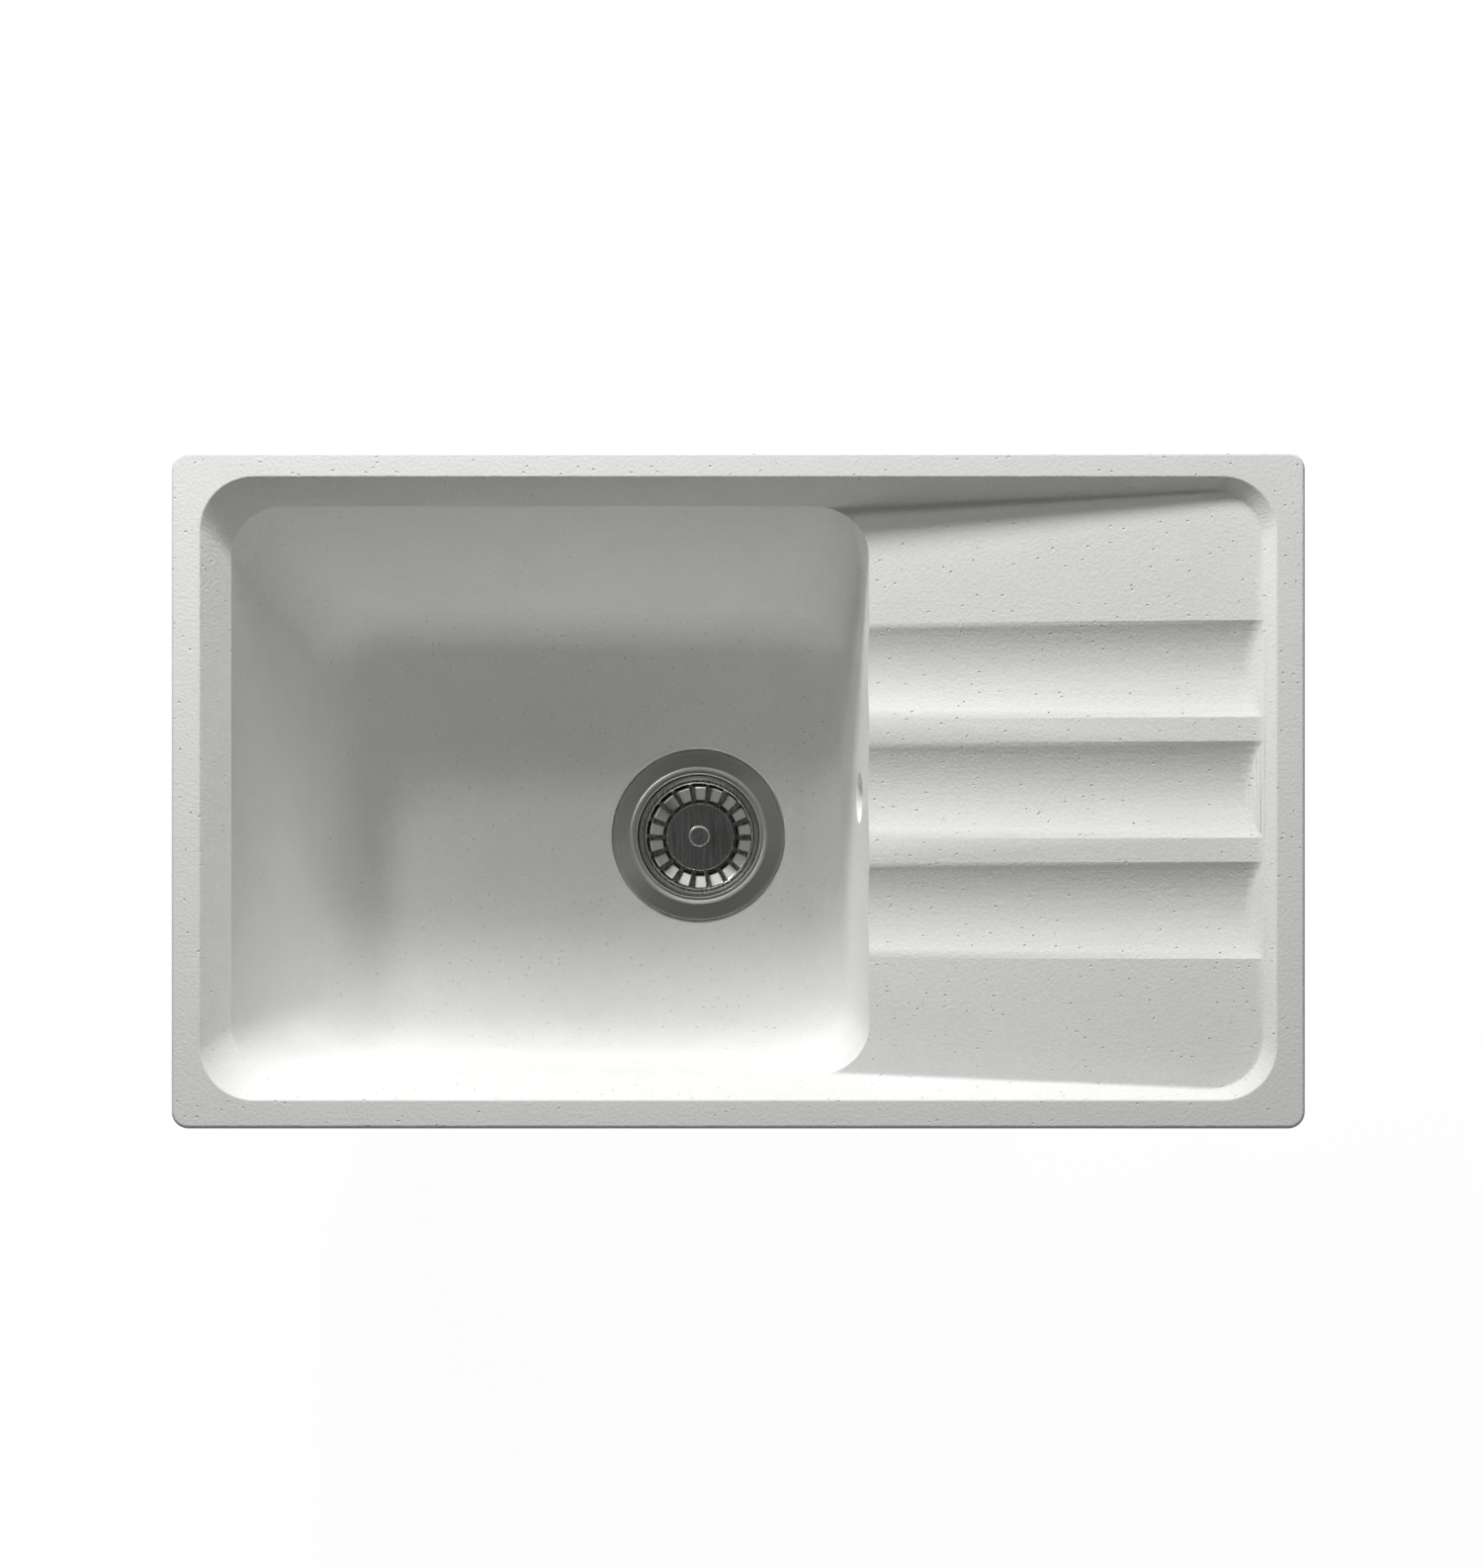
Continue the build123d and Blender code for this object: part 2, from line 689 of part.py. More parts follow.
places = clip_places()
nodes = {
    "sink_body": sink_body(),
    "rim_seal": rim_seal(),
    "clip_inserts": Compound(children=[clip_insert(x, y) for name, x, y, outward in places]),
    "clip_screws": Compound(children=[clip_screw(x, y) for name, x, y, outward in places]),
    "waste_flange": waste_flange(),
    "flange_seal": flange_seal(),
    "strainer_basket": strainer_basket(),
    "basket_knob": basket_knob(),
    "basket_stopper": basket_stopper(),
    "stopper_nut": stopper_nut(),
    "waste_body": waste_body(),
    "body_seal": body_seal(),
    "clamp_screw": clamp_screw(),
    "clamp_insert": clamp_insert(),
    "overflow_seal": overflow_seal(),
    "overflow_elbow": overflow_elbow(),
    "overflow_screws": Compound(children=[overflow_screw(side) for side in (-1, 1)]),
    "overflow_pipe": overflow_pipe(),
    "overflow_ring_upper": at_elbow(slip_ring()),
    "overflow_ring_lower": at_spigot(slip_ring()),
    "overflow_nut_upper": at_elbow(slip_nut()),
    "overflow_nut_lower": at_spigot(slip_nut()),
}
for name, x, y, outward in places:
    nodes[name] = clip(x, y, outward)

os.makedirs("parts", exist_ok=True)
for name, solid in nodes.items():
    export_step(solid, f"parts/{name}.step")
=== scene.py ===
"""Looks of an inset kitchen sink: its composite moulding, strainer, overflow and clips, and the studio."""

import json
import math

import bmesh
import bpy
import numpy as np
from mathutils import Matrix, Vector


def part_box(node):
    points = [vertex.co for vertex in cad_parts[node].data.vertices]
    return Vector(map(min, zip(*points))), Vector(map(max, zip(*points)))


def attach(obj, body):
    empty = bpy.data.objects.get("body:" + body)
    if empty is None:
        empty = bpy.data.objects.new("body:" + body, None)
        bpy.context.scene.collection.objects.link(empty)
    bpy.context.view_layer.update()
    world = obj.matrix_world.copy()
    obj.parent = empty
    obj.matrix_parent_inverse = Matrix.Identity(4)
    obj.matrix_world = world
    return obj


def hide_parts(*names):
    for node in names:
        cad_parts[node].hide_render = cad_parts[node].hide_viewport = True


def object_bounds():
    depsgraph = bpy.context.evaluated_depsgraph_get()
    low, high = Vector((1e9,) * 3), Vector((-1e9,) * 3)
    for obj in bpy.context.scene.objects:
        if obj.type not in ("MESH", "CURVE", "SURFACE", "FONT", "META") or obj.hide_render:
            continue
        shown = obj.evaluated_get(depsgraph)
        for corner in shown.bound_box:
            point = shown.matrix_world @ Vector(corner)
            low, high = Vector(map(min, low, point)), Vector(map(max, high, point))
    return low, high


bl_info = {
    "name": "Inset kitchen sink",
    "version": (1, 0, 0),
    "blender": (4, 5, 0),
    "location": "3D View > Sidebar > Sink",
    "description": "Dresses the solids of a composite kitchen sink with its finishes and fine shapes",
    "category": "Add Mesh",
}

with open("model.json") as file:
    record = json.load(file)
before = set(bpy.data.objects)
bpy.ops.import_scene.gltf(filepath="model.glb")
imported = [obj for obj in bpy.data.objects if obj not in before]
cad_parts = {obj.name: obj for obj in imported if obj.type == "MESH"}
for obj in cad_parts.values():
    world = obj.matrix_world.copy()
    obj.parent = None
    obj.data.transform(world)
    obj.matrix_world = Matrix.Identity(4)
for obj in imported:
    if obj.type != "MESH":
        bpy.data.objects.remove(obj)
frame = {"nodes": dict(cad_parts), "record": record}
cad_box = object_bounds()

mm = 0.001
up = np.array([0.0, 0.0, 1.0])


def middle(node):
    """Middle of a node's box."""
    low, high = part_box(node)
    return (np.array(low, float) + np.array(high, float)) / 2


def half_size(node):
    """Half of what a node's box measures along x, y and z."""
    low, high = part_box(node)
    return (np.array(high, float) - np.array(low, float)) / 2


# Places that follow from the solids
flange_low, flange_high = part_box("waste_flange")
basket_low, basket_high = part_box("strainer_basket")
elbow_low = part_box("overflow_elbow")[0]
drain = middle("waste_flange") * (1.0, 1.0, 0.0)
overflow = middle("overflow_seal")
elbow_axis_x = middle("overflow_nut_upper")[0]
pipe_axis_z = middle("overflow_nut_lower")[2]
pipe_reach = np.array([elbow_axis_x, overflow[1], 0.0]) - drain
pipe_run = np.linalg.norm(pipe_reach)
pipe_way = pipe_reach / pipe_run

# Meshes: distances within which points count as one or as on a line, and angles over which edges stay crisp
merge_distance = 2e-3 * mm
point_size = 1e-3 * mm
pick_margin = 0.1 * mm
cut_distance = 0.01 * mm
tiny = 1e-9
nearly_along = 0.9
crease_angle = 35.0
fine_crease_angle = 12.0
nut_crease_angle = 25.0

# Roundings, from a sheared edge to a pressed bend
sheared_edge = 0.2 * mm
fine_edge = 0.3 * mm
eased_edge = 0.4 * mm
dulled_edge = 0.5 * mm
blunt_edge = 0.6 * mm
rolled_edge = 0.8 * mm
soft_edge = 1.2 * mm
press_round = 1.5 * mm

# Bowl mouth and drainer grooves, whose edges are picked out on the moulding
mouth_low = np.array([-304.5, -169.5, -16.0]) * mm
mouth_high = np.array([78.0, 171.5, -10.0]) * mm
mouth_edge_round = 0.8 * mm
mouth_edge_segments = 3
steepest_mouth = 0.45
groove_middles = np.array([-70.8, 1.0, 72.8]) * mm
groove_width = 57.5 * mm
groove_depth = 6.0 * mm

# Wall at the drainer's end, whose foot runs softly into the drainer, and the bands cut there for it
end_foot = np.array([311.0, 3.0]) * mm
end_top = np.array([318.0, 10.0]) * mm
end_blend = 4.0 * mm
end_reach = 12.0 * mm
end_fade = (120.0 * mm, 148.0 * mm)
band_width = 1.0 * mm
band_margin = 1.5 * mm
fade_bands = 6
upward_face = 0.3

# Foam strip under the rim
rim_seal_width = 8.0 * mm
rim_seal_corners = (8.0 * mm, 5.0 * mm)
rim_corner_points = 13

# Strainer flange and cup
flange_radius = half_size("waste_flange")[0]
flange_sheet = 1.2 * mm
lip_width = 4.0 * mm
lip_fall = 0.6 * mm
bead_width = 1.2 * mm
bead_height = 0.4 * mm
flange_dish = 0.6 * mm
throat_radius = 41.0 * mm
ledge_depth = 9.0 * mm
cup_radius = 36.5 * mm
cup_depth = 33.0 * mm
cup_corner_round = 4.0 * mm
cup_cone_foot = 24.6 * mm
cup_cone_rise = 3.4 * mm
cup_lap = flange_sheet / 10
well_radius = 20.0 * mm
hub_radius = 7.0 * mm
spider_arms = 3
spider_arm_width = 4.0 * mm
spider_arm_points = 16
spider_height = 2.0 * mm

# Basket, knob and stopper
basket_rim_radius = half_size("strainer_basket")[0]
basket_rim_edge = 0.45 * mm
basket_sheet = 1.0 * mm
basket_floor = basket_low.z + basket_sheet
basket_top_radius = 36.0 * mm
basket_floor_radius = 23.0 * mm
window_margin = 0.5 * mm
window_foot_edge = 0.25 * mm
rim_curl_width = 1.6 * mm
rim_curl_fall = 0.6 * mm
rim_bend_out = 0.3 * mm
bar_lap = 1.5 * mm
stem_radius = 2.5 * mm
knob_radius = half_size("basket_knob")[0]
knob_crown_radius = 0.8 * knob_radius
knob_crown_fall = 0.05 * mm
knob_crown_round = 4.0 * mm
knob_edge_fall = 0.5 * mm
knob_neck_radius = 4.0 * mm
knob_neck_fall = 0.5 * mm
knob_neck_round = 1.0 * mm
knob_collar_radius = 6.0 * mm
knob_collar_height = 2.0 * mm
knob_head_height = 7.0 * mm
stopper_radius = half_size("basket_stopper")[0]
stopper_bevel = 1.5 * mm

# Waste body
chamber_radius = 46.0 * mm
chamber_height = 33.0 * mm
chamber_round = 3.0 * mm
body_wall = 3.0 * mm
body_shoulder_round = 4.0 * mm
body_flange_radius = 57.0 * mm
body_flange_height = 4.0 * mm
body_flange_root = 2.0 * mm
funnel_height = 16.0 * mm
outlet_radius = 23.9 * mm
outlet_bore_radius = 20.0 * mm
thread_rows = 140
body_hub_radius = 8.0 * mm
body_hub_height = 14.0 * mm
flange_seal_width = 9.0 * mm
body_seal_width = 8.0 * mm
clamp_gap = 1.0 * mm
clamp_screw_radius = 3.0 * mm
spigot_radius = 13.8 * mm
spigot_bore_radius = 10.3 * mm
spigot_end = 73.0 * mm

# Overflow, its slip nuts and their ribs, which rise where a cosine passes a level
overflow_hole_radius = 15.0 * mm
elbow_flange_radius = half_size("overflow_seal")[2]
elbow_flange_height = 4.0 * mm
elbow_tube_radius = 16.5 * mm
elbow_bend = 14.0 * mm
elbow_points = 40
pipe_radius = 10.0 * mm
pipe_play = 0.2 * mm
pipe_bend = 30.0 * mm
pipe_engagement = 16.0 * mm
slip_nut_wall = 4.0 * mm
slip_nut_length = 14.0 * mm
slip_nut_face = 3.0 * mm
slip_nut_shoulder = 1.0 * mm
slip_ring_length = 4.0 * mm
rib_height = 1.2 * mm
rib_start = 0.55
rib_slope = 6.0
rib_margin = 0.02 * mm

# Clips, with the start of the eye's half circle in radians
clip_screw_radius = 2.0 * mm
clip_head_radius = 3.6 * mm
clip_play = 0.1 * mm
clip_width = 10.0 * mm
clip_sheet = 2.0 * mm
clip_web = 4.5 * mm
clip_reach = 30.0 * mm
clip_claw_height = 9.0 * mm
clip_bend = 2.5 * mm
clip_eye_start = 0.15
clip_eye_points = 10
clip_eye_gap = 0.05 * clip_width
claw_teeth = 3
claw_tooth = 1.0 * mm
claw_points = 72

# Screw heads, in shares of the head's radius and height, and the run of the recess's wall
head_rings = (0.0, 0.12, 0.2, 0.35, 0.5)
head_shoulder = (0.62, 0.97)
head_side = 0.85
head_dome = 0.35
recess_arm = 0.09
recess_reach = 0.64
recess_depth = 0.5
recess_wall = 0.1 * mm

# Patterns, in millimetres, with edges as shares of a spacing
cloud_size = 22.0
# Real stone grains are about 0.3 mm, too fine to show in the render, so they are drawn coarser
stone_grain = 2.0
pit_spacing = 6.5
pit_edge = (0.04, 0.13)
dark_grain_spacing = 15.0
dark_grain_edge = (0.02, 0.045)
dark_grain_cover = 0.8
# Real strokes on steel are under 0.1 mm apart, too fine to show in the render, so they are drawn coarser
round_stroke = 0.45
straight_stroke = (0.8, 40.0, 40.0)
plating_patch = 3.0

# Levels that a noise mostly stays between, and the darkest and lightest share of a colour
noise_levels = (0.3, 0.7)
cloud_tone = (0.99, 1.01)
stone_tone = (0.97, 1.03)
stroke_tone = (0.8, 1.15)
moulded_tone = (0.93, 1.05)

# Roughness of the composite, and reliefs as the distance and strength of a bump
stone_roughness = (0.58, 0.7)
stone_relief = (0.8 * mm, 0.8)
grain_in_relief = 0.5
stroke_relief = (0.01 * mm, 0.5)
plating_relief = (0.02 * mm, 0.4)
moulded_bump = 0.5

# Photograph: the camera stood over the sink and looked straight down
sensor = 36.0
camera_place = (0.0399, -0.088, 1.310)
camera_shift = (-0.041, 0.099)

# Lamps: bearing clockwise from the back and elevation in degrees; distance, width and height in metres
lamp_places = {
    "key": (-12, 26, 2.0, 0.15, 0.45),
    "corner": (-36, 34, 1.2, 0.12, 0.12),
    "right": (60, 25, 2.0, 0.7, 0.7),
    "front": (180, 38, 2.0, 0.7, 0.7),
}

# Studio floor, the net behind the sink, and the cards that metal reflects: two corners, height and level
white = (1.0, 1.0, 1.0, 1.0)
floor_reach = 6.0
floor_glow = 1.13
floor_glow_share = 0.85
floor_paper = 0.85
net_reach = 0.6
net_gap = 0.015
net_passes = 0.3
cards = {
    "room_card": ((-3.0, -3.0), (3.0, 1.2), 2.2, 0.3),
    "camera_card": ((-0.75, -0.85), (0.85, 0.7), 1.9, 0.08),
}


def linear(code):
    """Linear colour of an sRGB hex value."""
    level = np.array([int(code[start:start + 2], 16) for start in (1, 3, 5)]) / 255
    value = np.where(level <= 0.04045, level / 12.92, ((level + 0.055) / 1.055) ** 2.4)
    return tuple(float(part) for part in value)


class SinkColours(bpy.types.PropertyGroup):
    """Colours of the finishes."""

    composite: bpy.props.FloatVectorProperty(
        name="Composite", description="Ground colour of the moulded quartz composite",
        subtype="COLOR", default=linear("#F0F0EE"))
    speck: bpy.props.FloatVectorProperty(
        name="Speck", description="Dark grains in the composite",
        subtype="COLOR", default=linear("#9C9A96"))
    stainless: bpy.props.FloatVectorProperty(
        name="Stainless steel", description="Reflection colour of the strainer",
        subtype="COLOR", default=linear("#B4B3B1"))
    # Partly painted light: the cup is pressed from the same steel as the flange, and this lighter colour
    # stands in for the light that it reflects
    bright: bpy.props.FloatVectorProperty(
        name="Bright steel", description="Reflection colour of the polished cup",
        subtype="COLOR", default=linear("#D2D1CE"))
    zinc: bpy.props.FloatVectorProperty(
        name="Zinc plate", description="Reflection colour of the clips and screws",
        subtype="COLOR", default=linear("#B9BEC4"))
    brass: bpy.props.FloatVectorProperty(
        name="Brass", description="Reflection colour of the threaded sleeves",
        subtype="COLOR", default=linear("#C9A45A"))
    rubber: bpy.props.FloatVectorProperty(
        name="Rubber", description="Seals and the stopper",
        subtype="COLOR", default=linear("#2A2A2B"))
    foam: bpy.props.FloatVectorProperty(
        name="Foam", description="Strip under the rim",
        subtype="COLOR", default=linear("#4A4A4B"))
    plastic: bpy.props.FloatVectorProperty(
        name="Polypropylene", description="Waste body, pipe and nuts",
        subtype="COLOR", default=linear("#DDDCD8"))


class SinkSizes(bpy.types.PropertyGroup):
    """Sizes of the details that only show close up."""

    bar_count: bpy.props.IntProperty(
        name="Basket bars", description="Radial bars round the basket's sloping side", default=18, min=6)
    bar_width: bpy.props.FloatProperty(
        name="Bar width", description="Width of a basket bar", default=2.8 * mm, unit="LENGTH", precision=4)
    thread_pitch: bpy.props.FloatProperty(
        name="Thread pitch", description="Rise of the outlet's thread in one turn",
        default=2.31 * mm, unit="LENGTH", precision=4)
    thread_depth: bpy.props.FloatProperty(
        name="Thread depth", description="Depth of the outlet's thread",
        default=1.2 * mm, unit="LENGTH", precision=4)
    nut_ribs: bpy.props.IntProperty(
        name="Nut ribs", description="Grip ribs round a slip nut", default=8, min=3)


class SinkStudio(bpy.types.PropertyGroup):
    """Light and camera."""

    key_power: bpy.props.FloatProperty(
        name="Key", description="Power of the tall lamp behind the sink", default=41.5, unit="POWER")
    corner_power: bpy.props.FloatProperty(
        name="Corner", description="Power of the near lamp at the back left corner",
        default=2.3, unit="POWER")
    right_power: bpy.props.FloatProperty(
        name="Right fill", description="Power of the wide lamp on the right", default=3.4, unit="POWER")
    front_power: bpy.props.FloatProperty(
        name="Front fill", description="Power of the wide lamp in front of the sink",
        default=4.0, unit="POWER")
    sky: bpy.props.FloatProperty(
        name="Sky", description="Level of the even light from all round", default=0.03, subtype="FACTOR")
    lens: bpy.props.FloatProperty(
        name="Lens", description="Focal length of the camera", default=50.56, unit="CAMERA")


def profile(corners, closed=True, steps=5):
    """Line through corners given as (across, along, rounding), each corner an arc of its rounding.

    The arc's centre lies on the bisector of the two sides, at the rounding over the sine of the half angle.
    """
    points = np.array([corner[:2] for corner in corners], float)
    rounding = np.array([corner[2] for corner in corners], float)[:, None]
    before = np.roll(points, 1, axis=0) - points
    after = np.roll(points, -1, axis=0) - points
    if not closed:
        before[0] = -after[0]
        after[-1] = -before[-1]
    before /= np.linalg.norm(before, axis=1, keepdims=True)
    after /= np.linalg.norm(after, axis=1, keepdims=True)
    half = np.arccos(np.clip((before * after).sum(axis=1, keepdims=True), -1, 1)) / 2
    bisector = before + after
    bisector /= np.maximum(np.linalg.norm(bisector, axis=1, keepdims=True), tiny)
    centre = points + bisector * rounding / np.sin(half)
    start = points + before * rounding / np.tan(half) - centre
    end = points + after * rounding / np.tan(half) - centre
    turn = (np.pi - 2 * half)[:, None]
    share = np.linspace(0, 1, steps + 1)[None, :, None]
    arc = np.sin((1 - share) * turn) * start[:, None] + np.sin(share * turn) * end[:, None]
    line = (centre[:, None] + arc / np.maximum(np.sin(turn), tiny)).reshape(-1, 2)
    step = np.linalg.norm(line - np.roll(line, 1, axis=0), axis=1)
    return line[step > point_size]


def lathe(section, segments=96):
    """Grid of a section (radius, height) carried round Z: x = r cos a, y = r sin a, z = height."""
    angle = np.linspace(0, 2 * np.pi, segments, endpoint=False)[:, None]
    radius = section[None, :, 0]
    height = np.broadcast_to(section[None, :, 1], (segments, len(section)))
    return np.stack([radius * np.cos(angle), radius * np.sin(angle), height], axis=-1)


def sweep(section, path, across, width=1.0, height=1.0):
    """Grid of a closed section carried along a flat path, with both ends drawn in to a point.

    The section's first coordinate, times the width, lies along the fixed direction across; the second,
    times the height, lies square to that and to the path.
    """
    path = np.asarray(path, float)
    across = np.asarray(across, float)
    tangent = np.gradient(path, axis=0)
    tangent /= np.linalg.norm(tangent, axis=1, keepdims=True)
    square = np.cross(across, tangent)[:, None]
    width = np.broadcast_to(width, len(path))[:, None, None]
    height = np.broadcast_to(height, len(path))[:, None, None]
    rings = path[:, None] + section[None, :, :1] * width * across + section[None, :, 1:] * height * square
    first = np.broadcast_to(path[:1, None], rings[:1].shape)
    last = np.broadcast_to(path[-1:, None], rings[-1:].shape)
    return np.concatenate([first, rings, last])


def even(line, count, closed=True):
    """The same line with its points evenly spaced along it."""
    track = np.concatenate([line, line[:1]]) if closed else line
    length = np.concatenate([[0.0], np.cumsum(np.linalg.norm(np.diff(track, axis=0), axis=1))])
    stops = np.linspace(0, length[-1], count, endpoint=not closed)
    return np.stack([np.interp(stops, length, track[:, axis]) for axis in (0, 1)], axis=-1)


def circle(radius, count=64):
    """Closed ring of points (radius cos a, radius sin a)."""
    angle = np.linspace(0, 2 * np.pi, count, endpoint=False)
    return np.stack([radius * np.cos(angle), radius * np.sin(angle)], axis=-1)


def plate(width, height, rounding):
    """Closed section of a rectangle about zero with rounded corners."""
    x, y = width / 2, height / 2
    return profile([(-x, -y, rounding), (x, -y, rounding), (x, y, rounding), (-x, y, rounding)], steps=3)


def ring_between(outer, inner, low, high, edge):
    """Section of a flat ring with rounded edges."""
    return profile([(outer, low, edge), (outer, high, edge), (inner, high, edge), (inner, low, edge)],
                   steps=3)


def spokes(count):
    """Outward and sideways directions of spokes evenly round Z."""
    angle = 2 * np.pi * np.arange(count) / count
    outward = np.stack([np.cos(angle), np.sin(angle), np.zeros(count)], axis=-1)
    return zip(outward, np.cross(up, outward))


def turned_to(grid, direction, origin):
    """Move a grid that was made about Z so that Z lies along a direction through an origin."""
    axis = np.asarray(direction, float)
    axis = axis / np.linalg.norm(axis)
    helper = np.array([0.0, 1.0, 0.0]) if abs(axis[1]) < nearly_along else np.array([1.0, 0.0, 0.0])
    first = np.cross(helper, axis)
    first /= np.linalg.norm(first)
    second = np.cross(axis, first)
    return grid @ np.stack([first, second, axis]) + np.asarray(origin, float)


def polar(grid):
    """Angle and radius of a grid's points about Z."""
    return np.arctan2(grid[..., 1], grid[..., 0]), np.hypot(grid[..., 0], grid[..., 1])


def points_of(mesh):
    """Places of a mesh's points, a row each."""
    points = np.empty(len(mesh.vertices) * 3, np.float32)
    mesh.vertices.foreach_get("co", points)
    return points.reshape(-1, 3)


def smooth(name, mesh, sharp=crease_angle):
    """Object of a mesh: doubled points merged, faces outwards, and edges over the angle left sharp."""
    work = bmesh.new()
    work.from_mesh(mesh)
    bmesh.ops.remove_doubles(work, verts=work.verts, dist=merge_distance)
    bmesh.ops.dissolve_degenerate(work, edges=work.edges, dist=point_size)
    bmesh.ops.recalc_face_normals(work, faces=work.faces)
    work.to_mesh(mesh)
    work.free()
    mesh.polygons.foreach_set("use_smooth", np.ones(len(mesh.polygons), bool))
    mesh.set_sharp_from_angle(angle=math.radians(sharp))
    piece = bpy.data.objects.new(name, mesh)
    bpy.context.scene.collection.objects.link(piece)
    normals = piece.modifiers.new("even_normals", "WEIGHTED_NORMAL")
    normals.keep_sharp = True
    return piece


def is_point(line):
    """Whether all the points of a line fall together, as at a pole."""
    return np.ptp(line, axis=0).max() < point_size


def surface(name, *grids, sharp=crease_angle):
    """One piece of grids of points, each closed round both directions unless its first line is a point."""
    points, faces, places = [], [], []
    offset = 0
    for grid in grids:
        rows, columns = grid.shape[:2]
        row, column = np.meshgrid(
            np.arange(rows - is_point(grid[0])), np.arange(columns - is_point(grid[:, 0])), indexing="ij")
        place = np.stack([
            np.stack([row, column], axis=-1), np.stack([row + 1, column], axis=-1),
            np.stack([row + 1, column + 1], axis=-1), np.stack([row, column + 1], axis=-1)], axis=2)
        quads = place[..., 0] % rows * columns + place[..., 1] % columns
        points.append(grid.reshape(-1, 3))
        faces.append(quads.reshape(-1, 4) + offset)
        places.append((place / np.array([rows, columns])).reshape(-1, 2))
        offset += rows * columns
    mesh = bpy.data.meshes.new(name)
    mesh.from_pydata(np.concatenate(points), [], np.concatenate(faces).tolist())
    along = mesh.uv_layers.new(name="round_and_along")
    along.uv.foreach_set("vector", np.concatenate(places).astype(np.float32).ravel())
    return smooth(name, mesh, sharp)


def dress(piece, body, slot, finish, *nodes):
    """Give a piece its finish and its body, and hide the nodes that it stands for."""
    piece.data.materials.clear()
    piece.data.materials.append(finish)
    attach(piece, body)
    if nodes:
        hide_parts(*nodes)


def paint(node, finish):
    """Give a node that stays as it is a finish."""
    solid = frame["nodes"][node]
    solid.data.materials.clear()
    solid.data.materials.append(finish)


def add(tree, kind, inputs=(), **settings):
    """Add a shader node with its settings, and set or link its inputs."""
    made = tree.nodes.new(kind)
    for name, value in settings.items():
        setattr(made, name, value)
    for name, value in dict(inputs).items():
        if isinstance(value, bpy.types.NodeSocket):
            tree.links.new(value, made.inputs[name])
        else:
            made.inputs[name].default_value = value
    return made


def per_mm(size):
    """Scale of a pattern whose features are a size in millimetres apart."""
    return 1 / (size * mm)


def spread(pattern, ends):
    """Inputs that stretch a noise, which mostly stays between two levels, between two ends."""
    return {"Value": pattern, "From Min": noise_levels[0], "From Max": noise_levels[1],
            "To Min": ends[0], "To Max": ends[1]}


def new_material(name):
    """Empty material and its tree."""
    made = bpy.data.materials.get(name) or bpy.data.materials.new(name)
    made.use_nodes = True
    made.node_tree.nodes.clear()
    return made, made.node_tree


def toned(tree, colour, pattern, tone):
    """Colour that a pattern makes darker and lighter."""
    share = add(tree, "ShaderNodeMapRange", spread(pattern, tone))
    return add(tree, "ShaderNodeVectorMath", {0: colour, "Scale": share.outputs["Result"]},
               operation="SCALE").outputs["Vector"]


def close_material(tree, pattern, roughness, height, relief, inputs):
    """Principled shader whose roughness follows a pattern and whose bump follows a height."""
    rough = add(tree, "ShaderNodeMapRange", spread(pattern, roughness))
    bump = add(tree, "ShaderNodeBump", {"Height": height, "Distance": relief[0], "Strength": relief[1]})
    shader = add(tree, "ShaderNodeBsdfPrincipled", {
        "Roughness": rough.outputs["Result"], "Normal": bump.outputs["Normal"], **inputs})
    add(tree, "ShaderNodeOutputMaterial", {"Surface": shader.outputs["BSDF"]})


def quartz_composite(colours):
    """Quartz composite, stone grains in resin, cast in a mould."""
    # To the eye a matt warm white with a soft grain, small pits, a few dark grains and no clear highlight
    made, tree = new_material("moulded_quartz_composite")
    place = add(tree, "ShaderNodeTexCoord").outputs["Object"]
    cloud = add(tree, "ShaderNodeTexNoise", {
        "Vector": place, "Scale": per_mm(cloud_size), "Detail": 2.0}).outputs["Fac"]
    grain = add(tree, "ShaderNodeTexNoise", {
        "Vector": place, "Scale": per_mm(stone_grain), "Detail": 3.0, "Roughness": 0.65}).outputs["Fac"]
    pit = add(tree, "ShaderNodeTexVoronoi", {"Vector": place, "Scale": per_mm(pit_spacing)})
    pit_wall = add(tree, "ShaderNodeMapRange", {
        "Value": pit.outputs["Distance"], "From Min": pit_edge[0], "From Max": pit_edge[1]},
        interpolation_type="SMOOTHSTEP")
    speck = add(tree, "ShaderNodeTexVoronoi", {"Vector": place, "Scale": per_mm(dark_grain_spacing)})
    speck_cover = add(tree, "ShaderNodeMapRange", {
        "Value": speck.outputs["Distance"], "From Min": dark_grain_edge[0], "From Max": dark_grain_edge[1],
        "To Min": dark_grain_cover, "To Max": 0.0})
    ground = toned(tree, toned(tree, tuple(colours.composite), cloud, cloud_tone), grain, stone_tone)
    colour = add(tree, "ShaderNodeMix", {
        "Factor": speck_cover.outputs["Result"], "A": ground, "B": (*colours.speck, 1.0)}, data_type="RGBA")
    height = add(tree, "ShaderNodeMath", {0: grain, 1: grain_in_relief, 2: pit_wall.outputs["Result"]},
                 operation="MULTIPLY_ADD")
    close_material(tree, grain, stone_roughness, height.outputs["Value"], stone_relief, {
        "Base Color": colour.outputs["Result"], "IOR": 1.5, "Specular IOR Level": 0.2})
    return made


